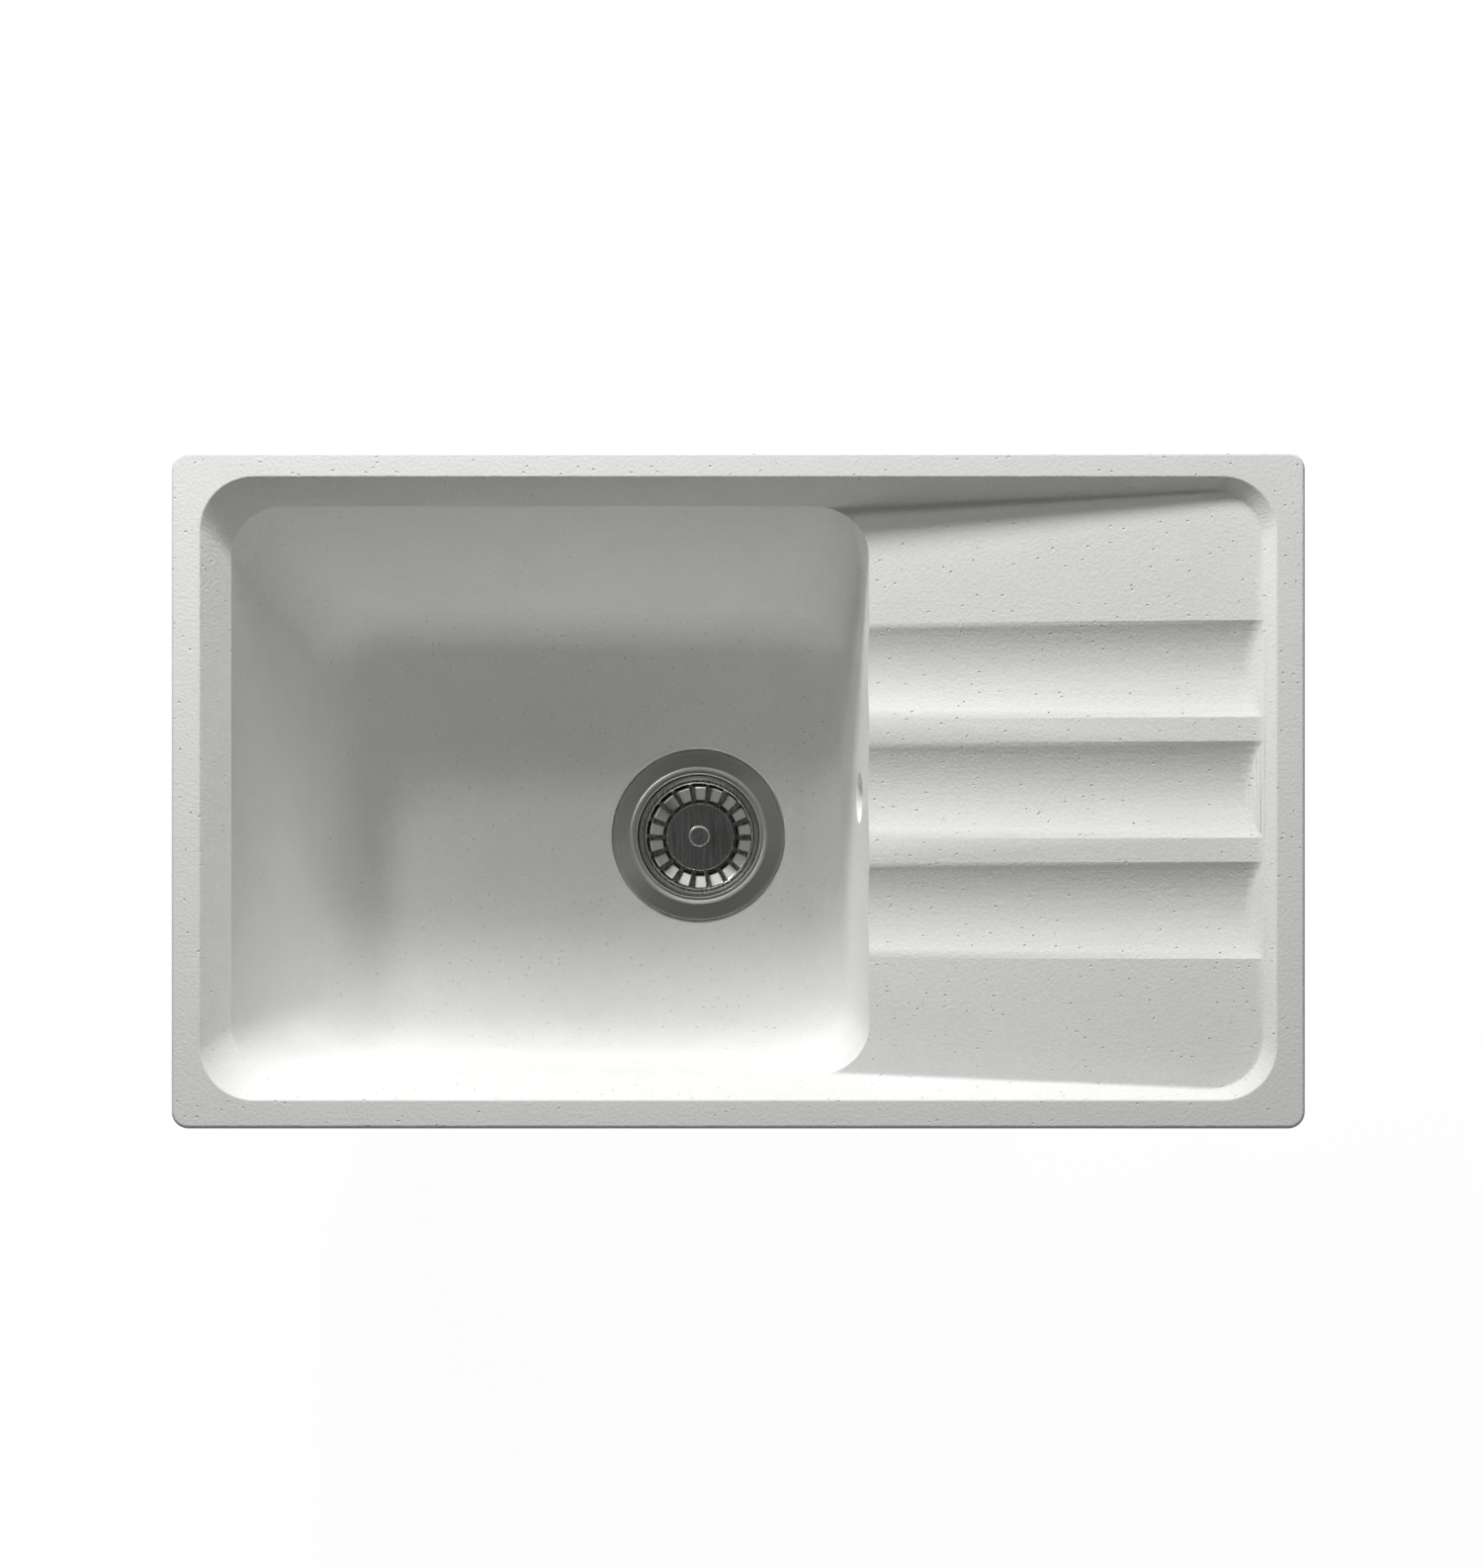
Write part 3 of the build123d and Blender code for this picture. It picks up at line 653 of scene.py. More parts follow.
def steel(name, colour, roughness, stretch, strokes_run):
    """Steel with fine strokes that run round the drain or straight across the sheet.

    Round strokes are a noise of one dimension, read at the distance from the drain's axis plus the height.
    """
    made, tree = new_material(name)
    place = add(tree, "ShaderNodeTexCoord").outputs["Object"]
    if strokes_run == "round":
        centred = add(tree, "ShaderNodeMapping", {"Vector": place, "Location": (-drain[0], -drain[1], 0.0)})
        flat = add(tree, "ShaderNodeVectorMath", {0: centred.outputs["Vector"], 1: (1.0, 1.0, 0.0)},
                   operation="MULTIPLY")
        radius = add(tree, "ShaderNodeVectorMath", {0: flat.outputs["Vector"]}, operation="LENGTH")
        apart = add(tree, "ShaderNodeSeparateXYZ", {"Vector": centred.outputs["Vector"]})
        reach = add(tree, "ShaderNodeMath", {0: radius.outputs["Value"], 1: apart.outputs["Z"]},
                    operation="ADD")
        strokes = add(tree, "ShaderNodeTexNoise", {
            "W": reach.outputs["Value"], "Scale": per_mm(round_stroke), "Detail": 3.0},
            noise_dimensions="1D")
    else:
        drawn = add(tree, "ShaderNodeMapping", {
            "Vector": place, "Scale": tuple(per_mm(size) for size in straight_stroke)})
        strokes = add(tree, "ShaderNodeTexNoise", {
            "Vector": drawn.outputs["Vector"], "Scale": 1.0, "Detail": 3.0})
    along = add(tree, "ShaderNodeTangent", direction_type="UV_MAP", uv_map="round_and_along")
    pattern = strokes.outputs["Fac"]
    close_material(tree, pattern, roughness, pattern, stroke_relief, {
        "Base Color": toned(tree, tuple(colour), pattern, stroke_tone), "Metallic": 1.0,
        "Anisotropic": stretch, "Tangent": along.outputs["Tangent"]})
    return made


def plated(name, colour, roughness):
    """Plated, polished or turned metal with a sheen that is uneven from patch to patch."""
    made, tree = new_material(name)
    place = add(tree, "ShaderNodeTexCoord").outputs["Object"]
    patch = add(tree, "ShaderNodeTexNoise", {
        "Vector": place, "Scale": per_mm(plating_patch), "Detail": 3.0}).outputs["Fac"]
    close_material(tree, patch, roughness, patch, plating_relief, {
        "Base Color": (*colour, 1.0), "Metallic": 1.0})
    return made


def moulded(name, colour, roughness, grain_size, relief):
    """Moulded rubber, foam or plastic with a fine even grain."""
    made, tree = new_material(name)
    place = add(tree, "ShaderNodeTexCoord").outputs["Object"]
    grain = add(tree, "ShaderNodeTexNoise", {
        "Vector": place, "Scale": per_mm(grain_size), "Detail": 2.0}).outputs["Fac"]
    close_material(tree, grain, roughness, grain, (relief, moulded_bump), {
        "Base Color": toned(tree, tuple(colour), grain, moulded_tone)})
    return made


# Finishes: maker, colour, lowest and highest roughness, then stretch and run of strokes, or grain and relief
finishes = {
    # Spun and turned stainless steel: a satin grey ring whose fine round strokes draw the light into a fan
    "stainless_turned": (steel, "stainless", (0.28, 0.4), 0.7, "round"),
    # Brushed stainless steel sheet: straight dark and light strokes and a soft streaked reflection
    "stainless_brushed": (steel, "stainless", (0.18, 0.32), 0.6, "straight"),
    # Turned and buffed stainless steel: a smoother grey with faint rings
    "stainless_polished": (steel, "stainless", (0.2, 0.3), 0.3, "round"),
    # Polished stainless steel of the cup, with clear reflections that waver a little; its colour, lighter
    # than the flange's same steel, is painted light
    "stainless_polished_cup": (plated, "bright", (0.12, 0.2)),
    # Polished steel of the screw in the cup: grey, with a clear but soft reflection
    "polished_steel_screw": (plated, "stainless", (0.16, 0.24)),
    # Steel plated with zinc: a cool grey whose sheen is patchy
    "zinc_plated_steel": (plated, "zinc", (0.28, 0.42)),
    # Turned brass: yellow with a soft bright sheen
    "turned_brass": (plated, "brass", (0.25, 0.35)),
    # The grain of what is moulded, in millimetres, is finer in reality and is drawn coarse enough to show
    # Moulded rubber: dull and nearly black, with a faint grain
    "black_rubber": (moulded, "rubber", (0.6, 0.75), 0.6, 0.05 * mm),
    # Foam with closed cells, cut to a strip: dull dark grey and pitted by its cells
    "closed_cell_foam": (moulded, "foam", (0.85, 0.95), 0.9, 0.2 * mm),
    # Moulded polypropylene: off-white with a soft waxy sheen
    "polypropylene": (moulded, "plastic", (0.4, 0.5), 0.8, 0.03 * mm),
}


def finish_of(name):
    """Material of a finish, in the colour that the panel holds."""
    make, colour, *values = finishes[name]
    return make(name, getattr(bpy.context.scene.sink_colours, colour), *values)


def rounded_ring(section, half_x, half_y, corner_change):
    """Grid of a section (inset, height) carried round a rectangle with rounded corners.

    At each inset the ring is four quarter circles about the corners' centres, joined by straight sides.
    """
    quarter = np.radians(np.linspace(0, 90, rim_corner_points))
    angle = (np.radians([0, 90, 180, 270])[:, None] + quarter).reshape(-1, 1)
    side_x = np.repeat([1, -1, -1, 1], len(quarter))[:, None]
    side_y = np.repeat([1, 1, -1, -1], len(quarter))[:, None]
    inset = section[None, :, 0]
    corner = corner_change[0] + (corner_change[1] - corner_change[0]) * inset / inset.max()
    x = side_x * (half_x - inset - corner) + corner * np.cos(angle)
    y = side_y * (half_y - inset - corner) + corner * np.sin(angle)
    return np.stack([x, y, np.broadcast_to(section[None, :, 1], x.shape)], axis=-1)


def rim_strip(finish):
    """Foam strip: a rectangle with eased corners carried round under the rim."""
    low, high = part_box("rim_seal")
    edge = dulled_edge
    section = profile([(0, low.z, edge), (rim_seal_width, low.z, edge),
                       (rim_seal_width, high.z, edge), (0, high.z, edge)])
    strip = rounded_ring(section, high.x, high.y, rim_seal_corners)
    dress(surface("rim_seal_strip", strip), "sink", "foam", finish, "rim_seal")


def spider(outer, hub, low, high):
    """Grids of a round hub, turned about Z, on level arms, each a plate's section carried outwards."""
    hub_section = [(0, high, 0), (hub, high, fine_edge), (hub, low, fine_edge), (0, low, 0)]
    grids = [lathe(profile(hub_section, closed=False), segments=48)]
    arm = plate(spider_arm_width, high - low, fine_edge)
    for outward, side in spokes(spider_arms):
        line = np.linspace(hub / 2, outer, spider_arm_points)[:, None] * outward + up * (low + high) / 2
        grids.append(sweep(arm, line, side))
    return grids


def waste_flange(finish, cup_finish):
    """Pressed strainer: a flange that rises to its lip, then throat, ledge, cup and well with the spider.

    Each is a section carried round the drain; the flange's ends where the ledge turns into the cup.
    """
    top = flange_high.z
    bottom = flange_low.z
    ledge = top - ledge_depth
    cup_floor = top - cup_depth
    sheet = flange_sheet
    crest = throat_radius + lip_width
    flange = profile([
        (flange_radius, top - flange_dish, dulled_edge),
        (crest + bead_width, top - bead_height, fine_edge),
        (crest, top, eased_edge),
        (crest - bead_width, top - bead_height, fine_edge),
        (throat_radius, top - lip_fall, soft_edge),
        (throat_radius, ledge, press_round),
        (cup_radius, ledge, press_round),
        (cup_radius, ledge - press_round - sheet, 0),
        (cup_radius + sheet, ledge - press_round - sheet, 0),
        (cup_radius + sheet, ledge - sheet, sheared_edge),
        (throat_radius + sheet, ledge - sheet, press_round),
        (throat_radius + sheet, top - lip_fall - sheet, rolled_edge),
        (crest, top - sheet, eased_edge),
        (flange_radius, top - sheet, eased_edge),
    ], steps=8)
    cup = profile([
        (cup_radius + cup_lap, ledge - press_round, 0),
        (cup_radius + cup_lap, cup_floor + cup_cone_rise, cup_corner_round),
        (cup_cone_foot, cup_floor, press_round),
        (well_radius, cup_floor, press_round),
        (well_radius, bottom, fine_edge),
        (well_radius + sheet, bottom, fine_edge),
        (well_radius + sheet, cup_floor - sheet, press_round),
        (cup_cone_foot, cup_floor - sheet, press_round),
        (cup_radius + sheet, cup_floor - sheet + cup_cone_rise, cup_corner_round + sheet),
        (cup_radius + sheet, ledge - press_round, 0),
    ], steps=10)
    dress(surface("waste_flange_pressing", lathe(flange, segments=192) + drain),
          "sink", "stainless", finish, "waste_flange")
    arms = spider(well_radius + sheet / 2, hub_radius, bottom, bottom + spider_height)
    grids = [lathe(cup, segments=144), *arms]
    # The cup's finish is polished, and its colour is lighter than the flange's same steel: painted light
    dress(surface("waste_flange_cup", *(grid + drain for grid in grids)), "sink", "stainless", cup_finish)


def flat_seal(name, node, width, finish):
    """Flat rubber ring: a rectangle with eased corners carried round the drain."""
    low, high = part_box(node)
    outer = half_size(node)[0]
    section = ring_between(outer, outer - width, low.z, high.z, eased_edge)
    dress(surface(name, lathe(section) + drain), "sink", "rubber", finish, node)


def lay_flat(piece):
    """Set a piece's map to its plan, so that strokes run straight across it."""
    mesh = piece.data
    corner = np.empty(len(mesh.loops), np.int32)
    mesh.loops.foreach_get("vertex_index", corner)
    plan = points_of(mesh)[corner, :2]
    mesh.uv_layers["round_and_along"].uv.foreach_set("vector", plan.ravel())


def strainer_basket(sizes, finish):
    """Basket: a rolled rim and a floor disc, both turned, and bars carried down the slope between them.

    The rim and the disc each take in the first of the slope, as far as the windows' margin.
    """
    top = basket_high.z
    floor = basket_floor
    sheet = basket_sheet
    window_top = basket_top_radius - window_margin
    window_foot = basket_floor_radius + window_margin
    margin_height = window_margin * (top - floor) / (basket_top_radius - basket_floor_radius)
    rim = profile([
        (basket_rim_radius, top - rim_curl_fall, sheared_edge),
        (basket_rim_radius - rim_curl_width, top, rolled_edge),
        (basket_top_radius, top, soft_edge),
        (window_top, top - margin_height, 0),
        (window_top, top - margin_height - sheet, sheared_edge),
        (basket_top_radius + rim_bend_out, top - sheet, blunt_edge),
        (basket_rim_radius, top - sheet, basket_rim_edge),
    ])
    disc = profile([
        (stem_radius, floor, 0),
        (basket_floor_radius, floor, soft_edge),
        (window_foot, floor + margin_height, window_foot_edge),
        (window_foot, floor + margin_height - sheet, sheared_edge),
        (basket_floor_radius, floor - sheet, blunt_edge),
        (stem_radius, floor - sheet, 0),
    ])
    line = profile([
        (basket_top_radius + bar_lap, top - sheet / 2, 0),
        (basket_top_radius, top - sheet / 2, press_round),
        (basket_floor_radius, floor - sheet / 2, press_round),
        (basket_floor_radius - bar_lap, floor - sheet / 2, 0),
    ], closed=False)
    bar = plate(sizes.bar_width, sheet, fine_edge)
    grids = [lathe(rim, segments=180), lathe(disc, segments=180)]
    for outward, side in spokes(sizes.bar_count):
        grids.append(sweep(bar, line[:, :1] * outward + line[:, 1:] * up, side))
    piece = surface("strainer_basket_sheet", *(grid + drain for grid in grids))
    lay_flat(piece)
    dress(piece, "basket", "stainless", finish, "strainer_basket")


def basket_knob(finish):
    """Button knob with its neck, collar and stem: one section turned about the drain's axis."""
    low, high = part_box("basket_knob")
    head_low = high.z - knob_head_height
    collar_top = basket_floor + knob_collar_height
    section = profile([
        (0, high.z, 0),
        (knob_crown_radius, high.z - knob_crown_fall, knob_crown_round),
        (knob_radius, high.z - knob_edge_fall, fine_edge),
        (knob_radius, head_low, soft_edge),
        (knob_neck_radius, head_low - knob_neck_fall, knob_neck_round),
        (knob_neck_radius, collar_top, rolled_edge),
        (knob_collar_radius, collar_top, dulled_edge),
        (knob_collar_radius, basket_floor, 0),
        (stem_radius, basket_floor, 0),
        (stem_radius, low.z, eased_edge),
        (0, low.z, 0),
    ], closed=False)
    dress(surface("basket_knob_turning", lathe(section) + drain),
          "basket", "polished_steel", finish, "basket_knob")


def basket_stopper(finish):
    """Rubber disc with a soft bevelled edge: one section turned about the drain's axis."""
    low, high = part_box("basket_stopper")
    section = profile([
        (stem_radius, high.z, 0), (stopper_radius, high.z, eased_edge),
        (stopper_radius, low.z + stopper_bevel, blunt_edge),
        (stopper_radius - stopper_bevel, low.z, blunt_edge), (stem_radius, low.z, 0)])
    dress(surface("basket_stopper_disc", lathe(section) + drain),
          "basket", "rubber", finish, "basket_stopper")


def stopper_nut(finish):
    """Six-sided nut: its radius is the flat's distance over the cosine of the angle from its middle."""
    low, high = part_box("stopper_nut")
    corner = half_size("stopper_nut")[0]
    nut = lathe(profile([
        (stem_radius, low.z, sheared_edge), (corner, low.z, eased_edge),
        (corner, high.z, eased_edge), (stem_radius, high.z, sheared_edge)]))
    angle, radius = polar(nut)
    flat = corner * math.cos(math.pi / 6) / np.cos((angle % (math.pi / 3)) - math.pi / 6)
    nut[..., :2] *= (np.minimum(radius, flat) / radius)[..., None]
    dress(surface("stopper_nut_hex", nut + drain, sharp=nut_crease_angle),
          "basket", "zinc_steel", finish, "stopper_nut")


def waste_body(sizes, finish):
    """Moulded cup: flange, chamber, funnel and threaded outlet, with the hub, its arms and the spigot.

    The cup and the spigot are turned sections. The thread lowers the outlet's radius by half its depth times
    one less the cosine of the turn it has made; the arms end in the funnel's wall.
    """
    low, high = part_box("waste_body")
    top, bottom = high.z, low.z
    chamber_bottom = top - chamber_height
    outlet_top = chamber_bottom - funnel_height
    funnel_wall = outlet_radius - outlet_bore_radius
    outer = chamber_radius + body_wall
    edge = blunt_edge
    thread = np.linspace(bottom + edge, outlet_top - funnel_wall, thread_rows)
    inside = profile([
        (body_flange_radius, top, edge), (chamber_radius, top, edge),
        (chamber_radius, chamber_bottom, chamber_round), (outlet_bore_radius, outlet_top, chamber_round),
        (outlet_bore_radius, bottom, edge), (outlet_radius - edge, bottom, 0)], closed=False)
    wall = np.stack([np.full_like(thread, outlet_radius), thread], axis=-1)
    outside = profile([
        (outlet_radius, outlet_top - funnel_wall, 0),
        (outer, chamber_bottom - body_wall, body_shoulder_round),
        (outer, top - body_flange_height, body_flange_root),
        (body_flange_radius, top - body_flange_height, edge),
        (body_flange_radius, top - edge, 0)], closed=False)
    cup = lathe(np.concatenate([inside, wall, outside[1:]]), segments=144)
    angle, radius = polar(cup)
    height = cup[..., 2]
    on_wall = np.zeros(cup.shape[1], bool)
    on_wall[len(inside):len(inside) + len(wall)] = True
    ends = np.minimum(height - thread[0], thread[-1] - height) / sizes.thread_pitch
    wave = 0.5 - 0.5 * np.cos(2 * np.pi * height / sizes.thread_pitch - angle)
    cut = sizes.thread_depth * wave * np.clip(ends, 0, 1) * on_wall
    cup[..., :2] *= (1 - cut / radius)[..., None]
    hub_top = flange_low.z - clamp_gap
    grids = [cup]
    for grid in spider(chamber_radius, body_hub_radius, hub_top - body_hub_height, hub_top):
        radius = polar(grid)[1]
        funnel = np.interp(radius, (outlet_bore_radius, chamber_radius), (outlet_top, chamber_bottom))
        grid[..., 2] = np.maximum(grid[..., 2], funnel - body_wall / 2)
        grids.append(grid)
    spigot = lathe(profile([
        (spigot_radius, chamber_radius, 0), (spigot_radius, spigot_end, edge),
        (spigot_bore_radius, spigot_end, edge), (spigot_bore_radius, chamber_radius, 0)]), segments=64)
    grids.append(turned_to(spigot, pipe_reach, up * pipe_axis_z))
    dress(surface("waste_body_moulding", *(grid + drain for grid in grids)),
          "sink", "white_plastic", finish, "waste_body")


def screw_grid(head_radius, head_height, shank_radius, length):
    """Pan-head screw turned about Z, with its head's seat at zero and a cross recess pressed into the head.

    The recess lowers the head's top wherever the smaller of x and y lies within the arm's width.
    """
    rings = [(share * head_radius, head_height, 0) for share in head_rings]
    screw = lathe(profile([
        *rings, (head_radius * head_shoulder[0], head_height * head_shoulder[1], 0),
        (head_radius, head_height * head_side, head_radius * head_dome), (head_radius, 0, sheared_edge),
        (shank_radius, 0, 0), (shank_radius, -length, fine_edge), (0, -length, 0)], closed=False),
        segments=64)
    narrow = np.minimum(np.abs(screw[..., 0]), np.abs(screw[..., 1]))
    inner = np.clip((recess_reach * head_radius - polar(screw)[1]) / recess_wall, 0, 1)
    arm = np.clip(2 - narrow / (recess_arm * head_radius), 0, 1) * inner
    screw[..., 2] -= recess_depth * head_height * arm * (screw[..., 2] > recess_depth * head_height)
    return screw


def clamp_screw(finish):
    """Screw in the middle of the cup."""
    low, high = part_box("clamp_screw")
    seat = flange_low.z + spider_height
    screw = screw_grid(half_size("clamp_screw")[0], high.z - seat, clamp_screw_radius, seat - low.z)
    dress(surface("clamp_screw_head", screw + (drain + up * seat)),
          "sink", "polished_steel", finish, "clamp_screw")


def hinges():
    """Name, pivot, direction and side of each clip, from the record's hinges and the clips' boxes."""
    found = []
    for joint in frame["record"]["behaviour"]["joints"]:
        if joint["type"] == "hinge":
            pivot = np.array([*joint["pos_m"][:2], 0.0])
            offset = middle(joint["child"]) * (1.0, 1.0, 0.0) - pivot
            main = np.argmax(np.abs(offset))
            along = np.zeros(3)
            along[main] = np.sign(offset[main])
            found.append((joint["child"], pivot, along, np.cross(up, along)))
    return found


def clips(finish):
    """Bent strips: a plate's section carried along the bends, with teeth cut into its free edge.

    The eye's half width follows a half circle, and the teeth are a saw of the place across the strip.
    """
    half_sheet = clip_sheet / 2
    web = clip_web + half_sheet
    bend = clip_bend - half_sheet
    claw = clip_reach - half_sheet
    turn = np.linspace(clip_eye_start, np.pi / 2, clip_eye_points)
    section = even(plate(clip_width, clip_sheet, eased_edge), claw_points)
    across = section[:, 0] / clip_width + 0.5
    notch = np.abs((across * claw_teeth) % 1 - 0.5) * 2
    for name, pivot, along, side in hinges():
        low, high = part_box(name)
        top = high.z - half_sheet
        bottom = low.z + half_sheet
        eye = np.stack([-clip_width / 2 * np.cos(turn), np.full_like(turn, top)], axis=-1)
        strip = profile([
            (clip_eye_gap, top, 0), (web, top, bend), (web, bottom, bend), (claw, bottom, bend),
            (claw, low.z + clip_claw_height, 0)], closed=False)
        line = np.concatenate([eye, strip])
        width = np.concatenate([np.sin(turn), np.ones(len(strip))])
        grid = sweep(section, pivot + line[:, :1] * along + line[:, 1:] * up, side, width)
        grid[-2, :, 2] -= claw_tooth * notch
        grid[-1, :, 2] -= claw_tooth
        dress(surface(name + "_strip", grid), name, "zinc_steel", finish, name)


def clip_screws(finish):
    """Screws that the clips swing on, heads down."""
    low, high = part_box("clip_screws")
    found = hinges()
    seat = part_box(found[0][0])[1].z - clip_sheet - clip_play
    screw = screw_grid(clip_head_radius, seat - low.z, clip_screw_radius, high.z - seat)
    grids = [turned_to(screw, -up, pivot + up * seat) for name, pivot, along, side in found]
    dress(surface("clip_screw_set", *grids), "sink", "zinc_steel", finish, "clip_screws")


def overflow_elbow(finish):
    """Moulded elbow: a turned flange on the seal, and a circle carried round the bend as it narrows.

    The tube's radius eases to the spigot's by three times the square less twice the cube of the share.
    """
    face = elbow_low.x
    inner = elbow_tube_radius - body_wall
    flange = lathe(profile([
        (inner, 0, 0), (elbow_flange_radius, 0, blunt_edge),
        (elbow_flange_radius, elbow_flange_height, blunt_edge), (inner, elbow_flange_height, 0)]))
    flange = turned_to(flange, (1, 0, 0), (face, overflow[1], overflow[2]))
    line = even(profile([
        (face, overflow[2], 0), (elbow_axis_x, overflow[2], elbow_bend), (elbow_axis_x, elbow_low.z, 0)],
        closed=False, steps=16), elbow_points, closed=False)
    path = np.stack([line[:, 0], np.full(len(line), overflow[1]), line[:, 1]], axis=-1)
    past_bend = np.clip((overflow[2] - line[:, 1]) / (2 * elbow_bend), 0, 1)
    ease = past_bend ** 2 * (3 - 2 * past_bend)
    size = elbow_tube_radius + (spigot_radius - elbow_tube_radius) * ease
    tube = sweep(circle(1.0), path, (0, 1, 0), size, size)
    dress(surface("overflow_elbow_moulding", flange, tube),
          "sink", "white_plastic", finish, "overflow_elbow")


def overflow_seal(finish):
    """Rubber ring behind the elbow: a rectangle with eased corners carried round the overflow's axis."""
    low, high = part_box("overflow_seal")
    section = ring_between(elbow_flange_radius, overflow_hole_radius, 0, high.x - low.x, eased_edge)
    ring = turned_to(lathe(section), (1, 0, 0), (low.x, overflow[1], overflow[2]))
    dress(surface("overflow_seal_ring", ring), "sink", "rubber", finish, "overflow_seal")


def overflow_screws(finish):
    """The two screws of the elbow."""
    low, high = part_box("overflow_screws")
    half = half_size("overflow_screws")
    seat = elbow_low.x + elbow_flange_height
    screw = screw_grid(half[2], high.x - seat, clip_screw_radius, seat - low.x)
    reach = half[1] - half[2]
    grids = [turned_to(screw, (1, 0, 0), (seat, overflow[1] + turn * reach, overflow[2]))
             for turn in (-1, 1)]
    dress(surface("overflow_screw_pair", *grids), "sink", "zinc_steel", finish, "overflow_screws")


def overflow_pipe(finish):
    """Bent pipe: a circle carried from the waste body along the floor and up to the elbow."""
    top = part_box("overflow_pipe")[1].z
    line = profile([
        (spigot_end - pipe_engagement, pipe_axis_z, 0), (pipe_run, pipe_axis_z, pipe_bend),
        (pipe_run, top, 0)], closed=False, steps=24)
    path = drain + line[:, :1] * pipe_way + line[:, 1:] * up
    dress(surface("overflow_pipe_tube", sweep(circle(pipe_radius), path, np.cross(up, pipe_way))),
          "sink", "white_plastic", finish, "overflow_pipe")


def slip_nut(name, node, origin, direction, sizes, finish):
    """Ribbed nut, turned: it is raised where the cosine of the ribs' count times the angle is near one."""
    outer = spigot_radius + slip_nut_wall
    bore = pipe_radius + pipe_play
    face = slip_ring_length
    edge = dulled_edge
    nut = lathe(profile([
        (spigot_radius, -slip_nut_length, edge), (outer, -slip_nut_length, edge),
        (outer, face - slip_nut_shoulder, edge), (outer, face, edge),
        (outer - slip_nut_face, face + slip_nut_face, edge), (bore, face + slip_nut_face, edge),
        (bore, face, 0), (spigot_radius, face, 0)]), segments=192)
    angle, radius = polar(nut)
    rib = np.clip((np.cos(sizes.nut_ribs * angle) - rib_start) * rib_slope, 0, 1)
    raised = rib * (radius > outer - rib_margin) * (nut[..., 2] < face)
    nut[..., :2] *= (1 + rib_height * raised / radius)[..., None]
    dress(surface(name, turned_to(nut, direction, origin)), "sink", "white_plastic", finish, node)


def creases(mesh, angle):
    """Whether each edge of a mesh turns by more than an angle, as a whole array."""
    mesh.set_sharp_from_angle(angle=math.radians(angle))
    found = np.zeros(len(mesh.edges), bool)
    mesh.attributes["sharp_edge"].data.foreach_get("value", found)
    return found


def drainer_floor(x, y):
    """Height of the drainer: a slope from the bowl's mouth to the end wall's foot, less the round grooves.

    A groove lowers it by the half chord's height: the root of the radius squared less the distance from the
    groove's middle squared, less the radius, plus the depth.
    """
    slope = (end_foot[1] - mouth_high[2]) / (end_foot[0] - mouth_high[0])
    radius = (groove_width ** 2 / 4 + groove_depth ** 2) / (2 * groove_depth)
    aside = np.abs(y[:, None] - groove_middles).min(axis=1)
    groove = np.sqrt(np.maximum(radius ** 2 - aside ** 2, 0)) - radius + groove_depth
    return mouth_high[2] + slope * (x - mouth_high[0]) - np.maximum(groove, 0) * math.hypot(1, slope)


def soften_end(mesh):
    """Let the drainer run softly into the wall at its end.

    The strip there is cut into narrow bands, and each point rises to the soft maximum of the heights of
    drainer and wall: the larger of them, plus the square of what the blend is more than their difference,
    over four blends. The rise fades out before the corners.
    """
    start = end_foot[0] - end_reach
    between = groove_middles.mean()
    work = bmesh.new()
    work.from_mesh(mesh)
    bmesh.ops.bisect_plane(work, geom=[*work.verts, *work.edges, *work.faces], dist=cut_distance,
                           plane_co=(start, 0, 0), plane_no=(1, 0, 0))
    stops = np.arange(start + band_width, end_top[0] - band_margin, band_width)
    bands = [((x, 0, 0), (1, 0, 0)) for x in stops]
    for aside in np.linspace(*end_fade, fade_bands):
        bands += [((0, between - aside, 0), (0, 1, 0)), ((0, between + aside, 0), (0, 1, 0))]
    for place, across in bands:
        strip = [face for face in work.faces
                 if face.normal.z > upward_face and face.calc_center_median().x > start
                 and face.calc_center_median().z < end_top[1] - pick_margin]
        parts = {part for face in strip for part in (face, *face.edges, *face.verts)}
        bmesh.ops.bisect_plane(work, geom=list(parts), dist=cut_distance, plane_co=place, plane_no=across)
    work.to_mesh(mesh)
    work.free()
    points = points_of(mesh)
    x, y, z = points.T
    floor = drainer_floor(x, y)
    wall = end_foot[1] + (x - end_foot[0]) * (end_top[1] - end_foot[1]) / (end_top[0] - end_foot[0])
    rise = np.maximum(end_blend - np.abs(floor - wall), 0) ** 2 / (4 * end_blend)
    fade = np.clip((end_fade[1] - np.abs(y - between)) / (end_fade[1] - end_fade[0]), 0, 1)
    soft = np.maximum(floor, wall) + rise
    upper = (x > start) & (z > floor - pick_margin) & (rise > 0)
    points[:, 2] = np.where(upper, np.maximum(z, z + (soft - z) * fade), z)
    mesh.vertices.foreach_set("co", points.ravel())
    mesh.update()


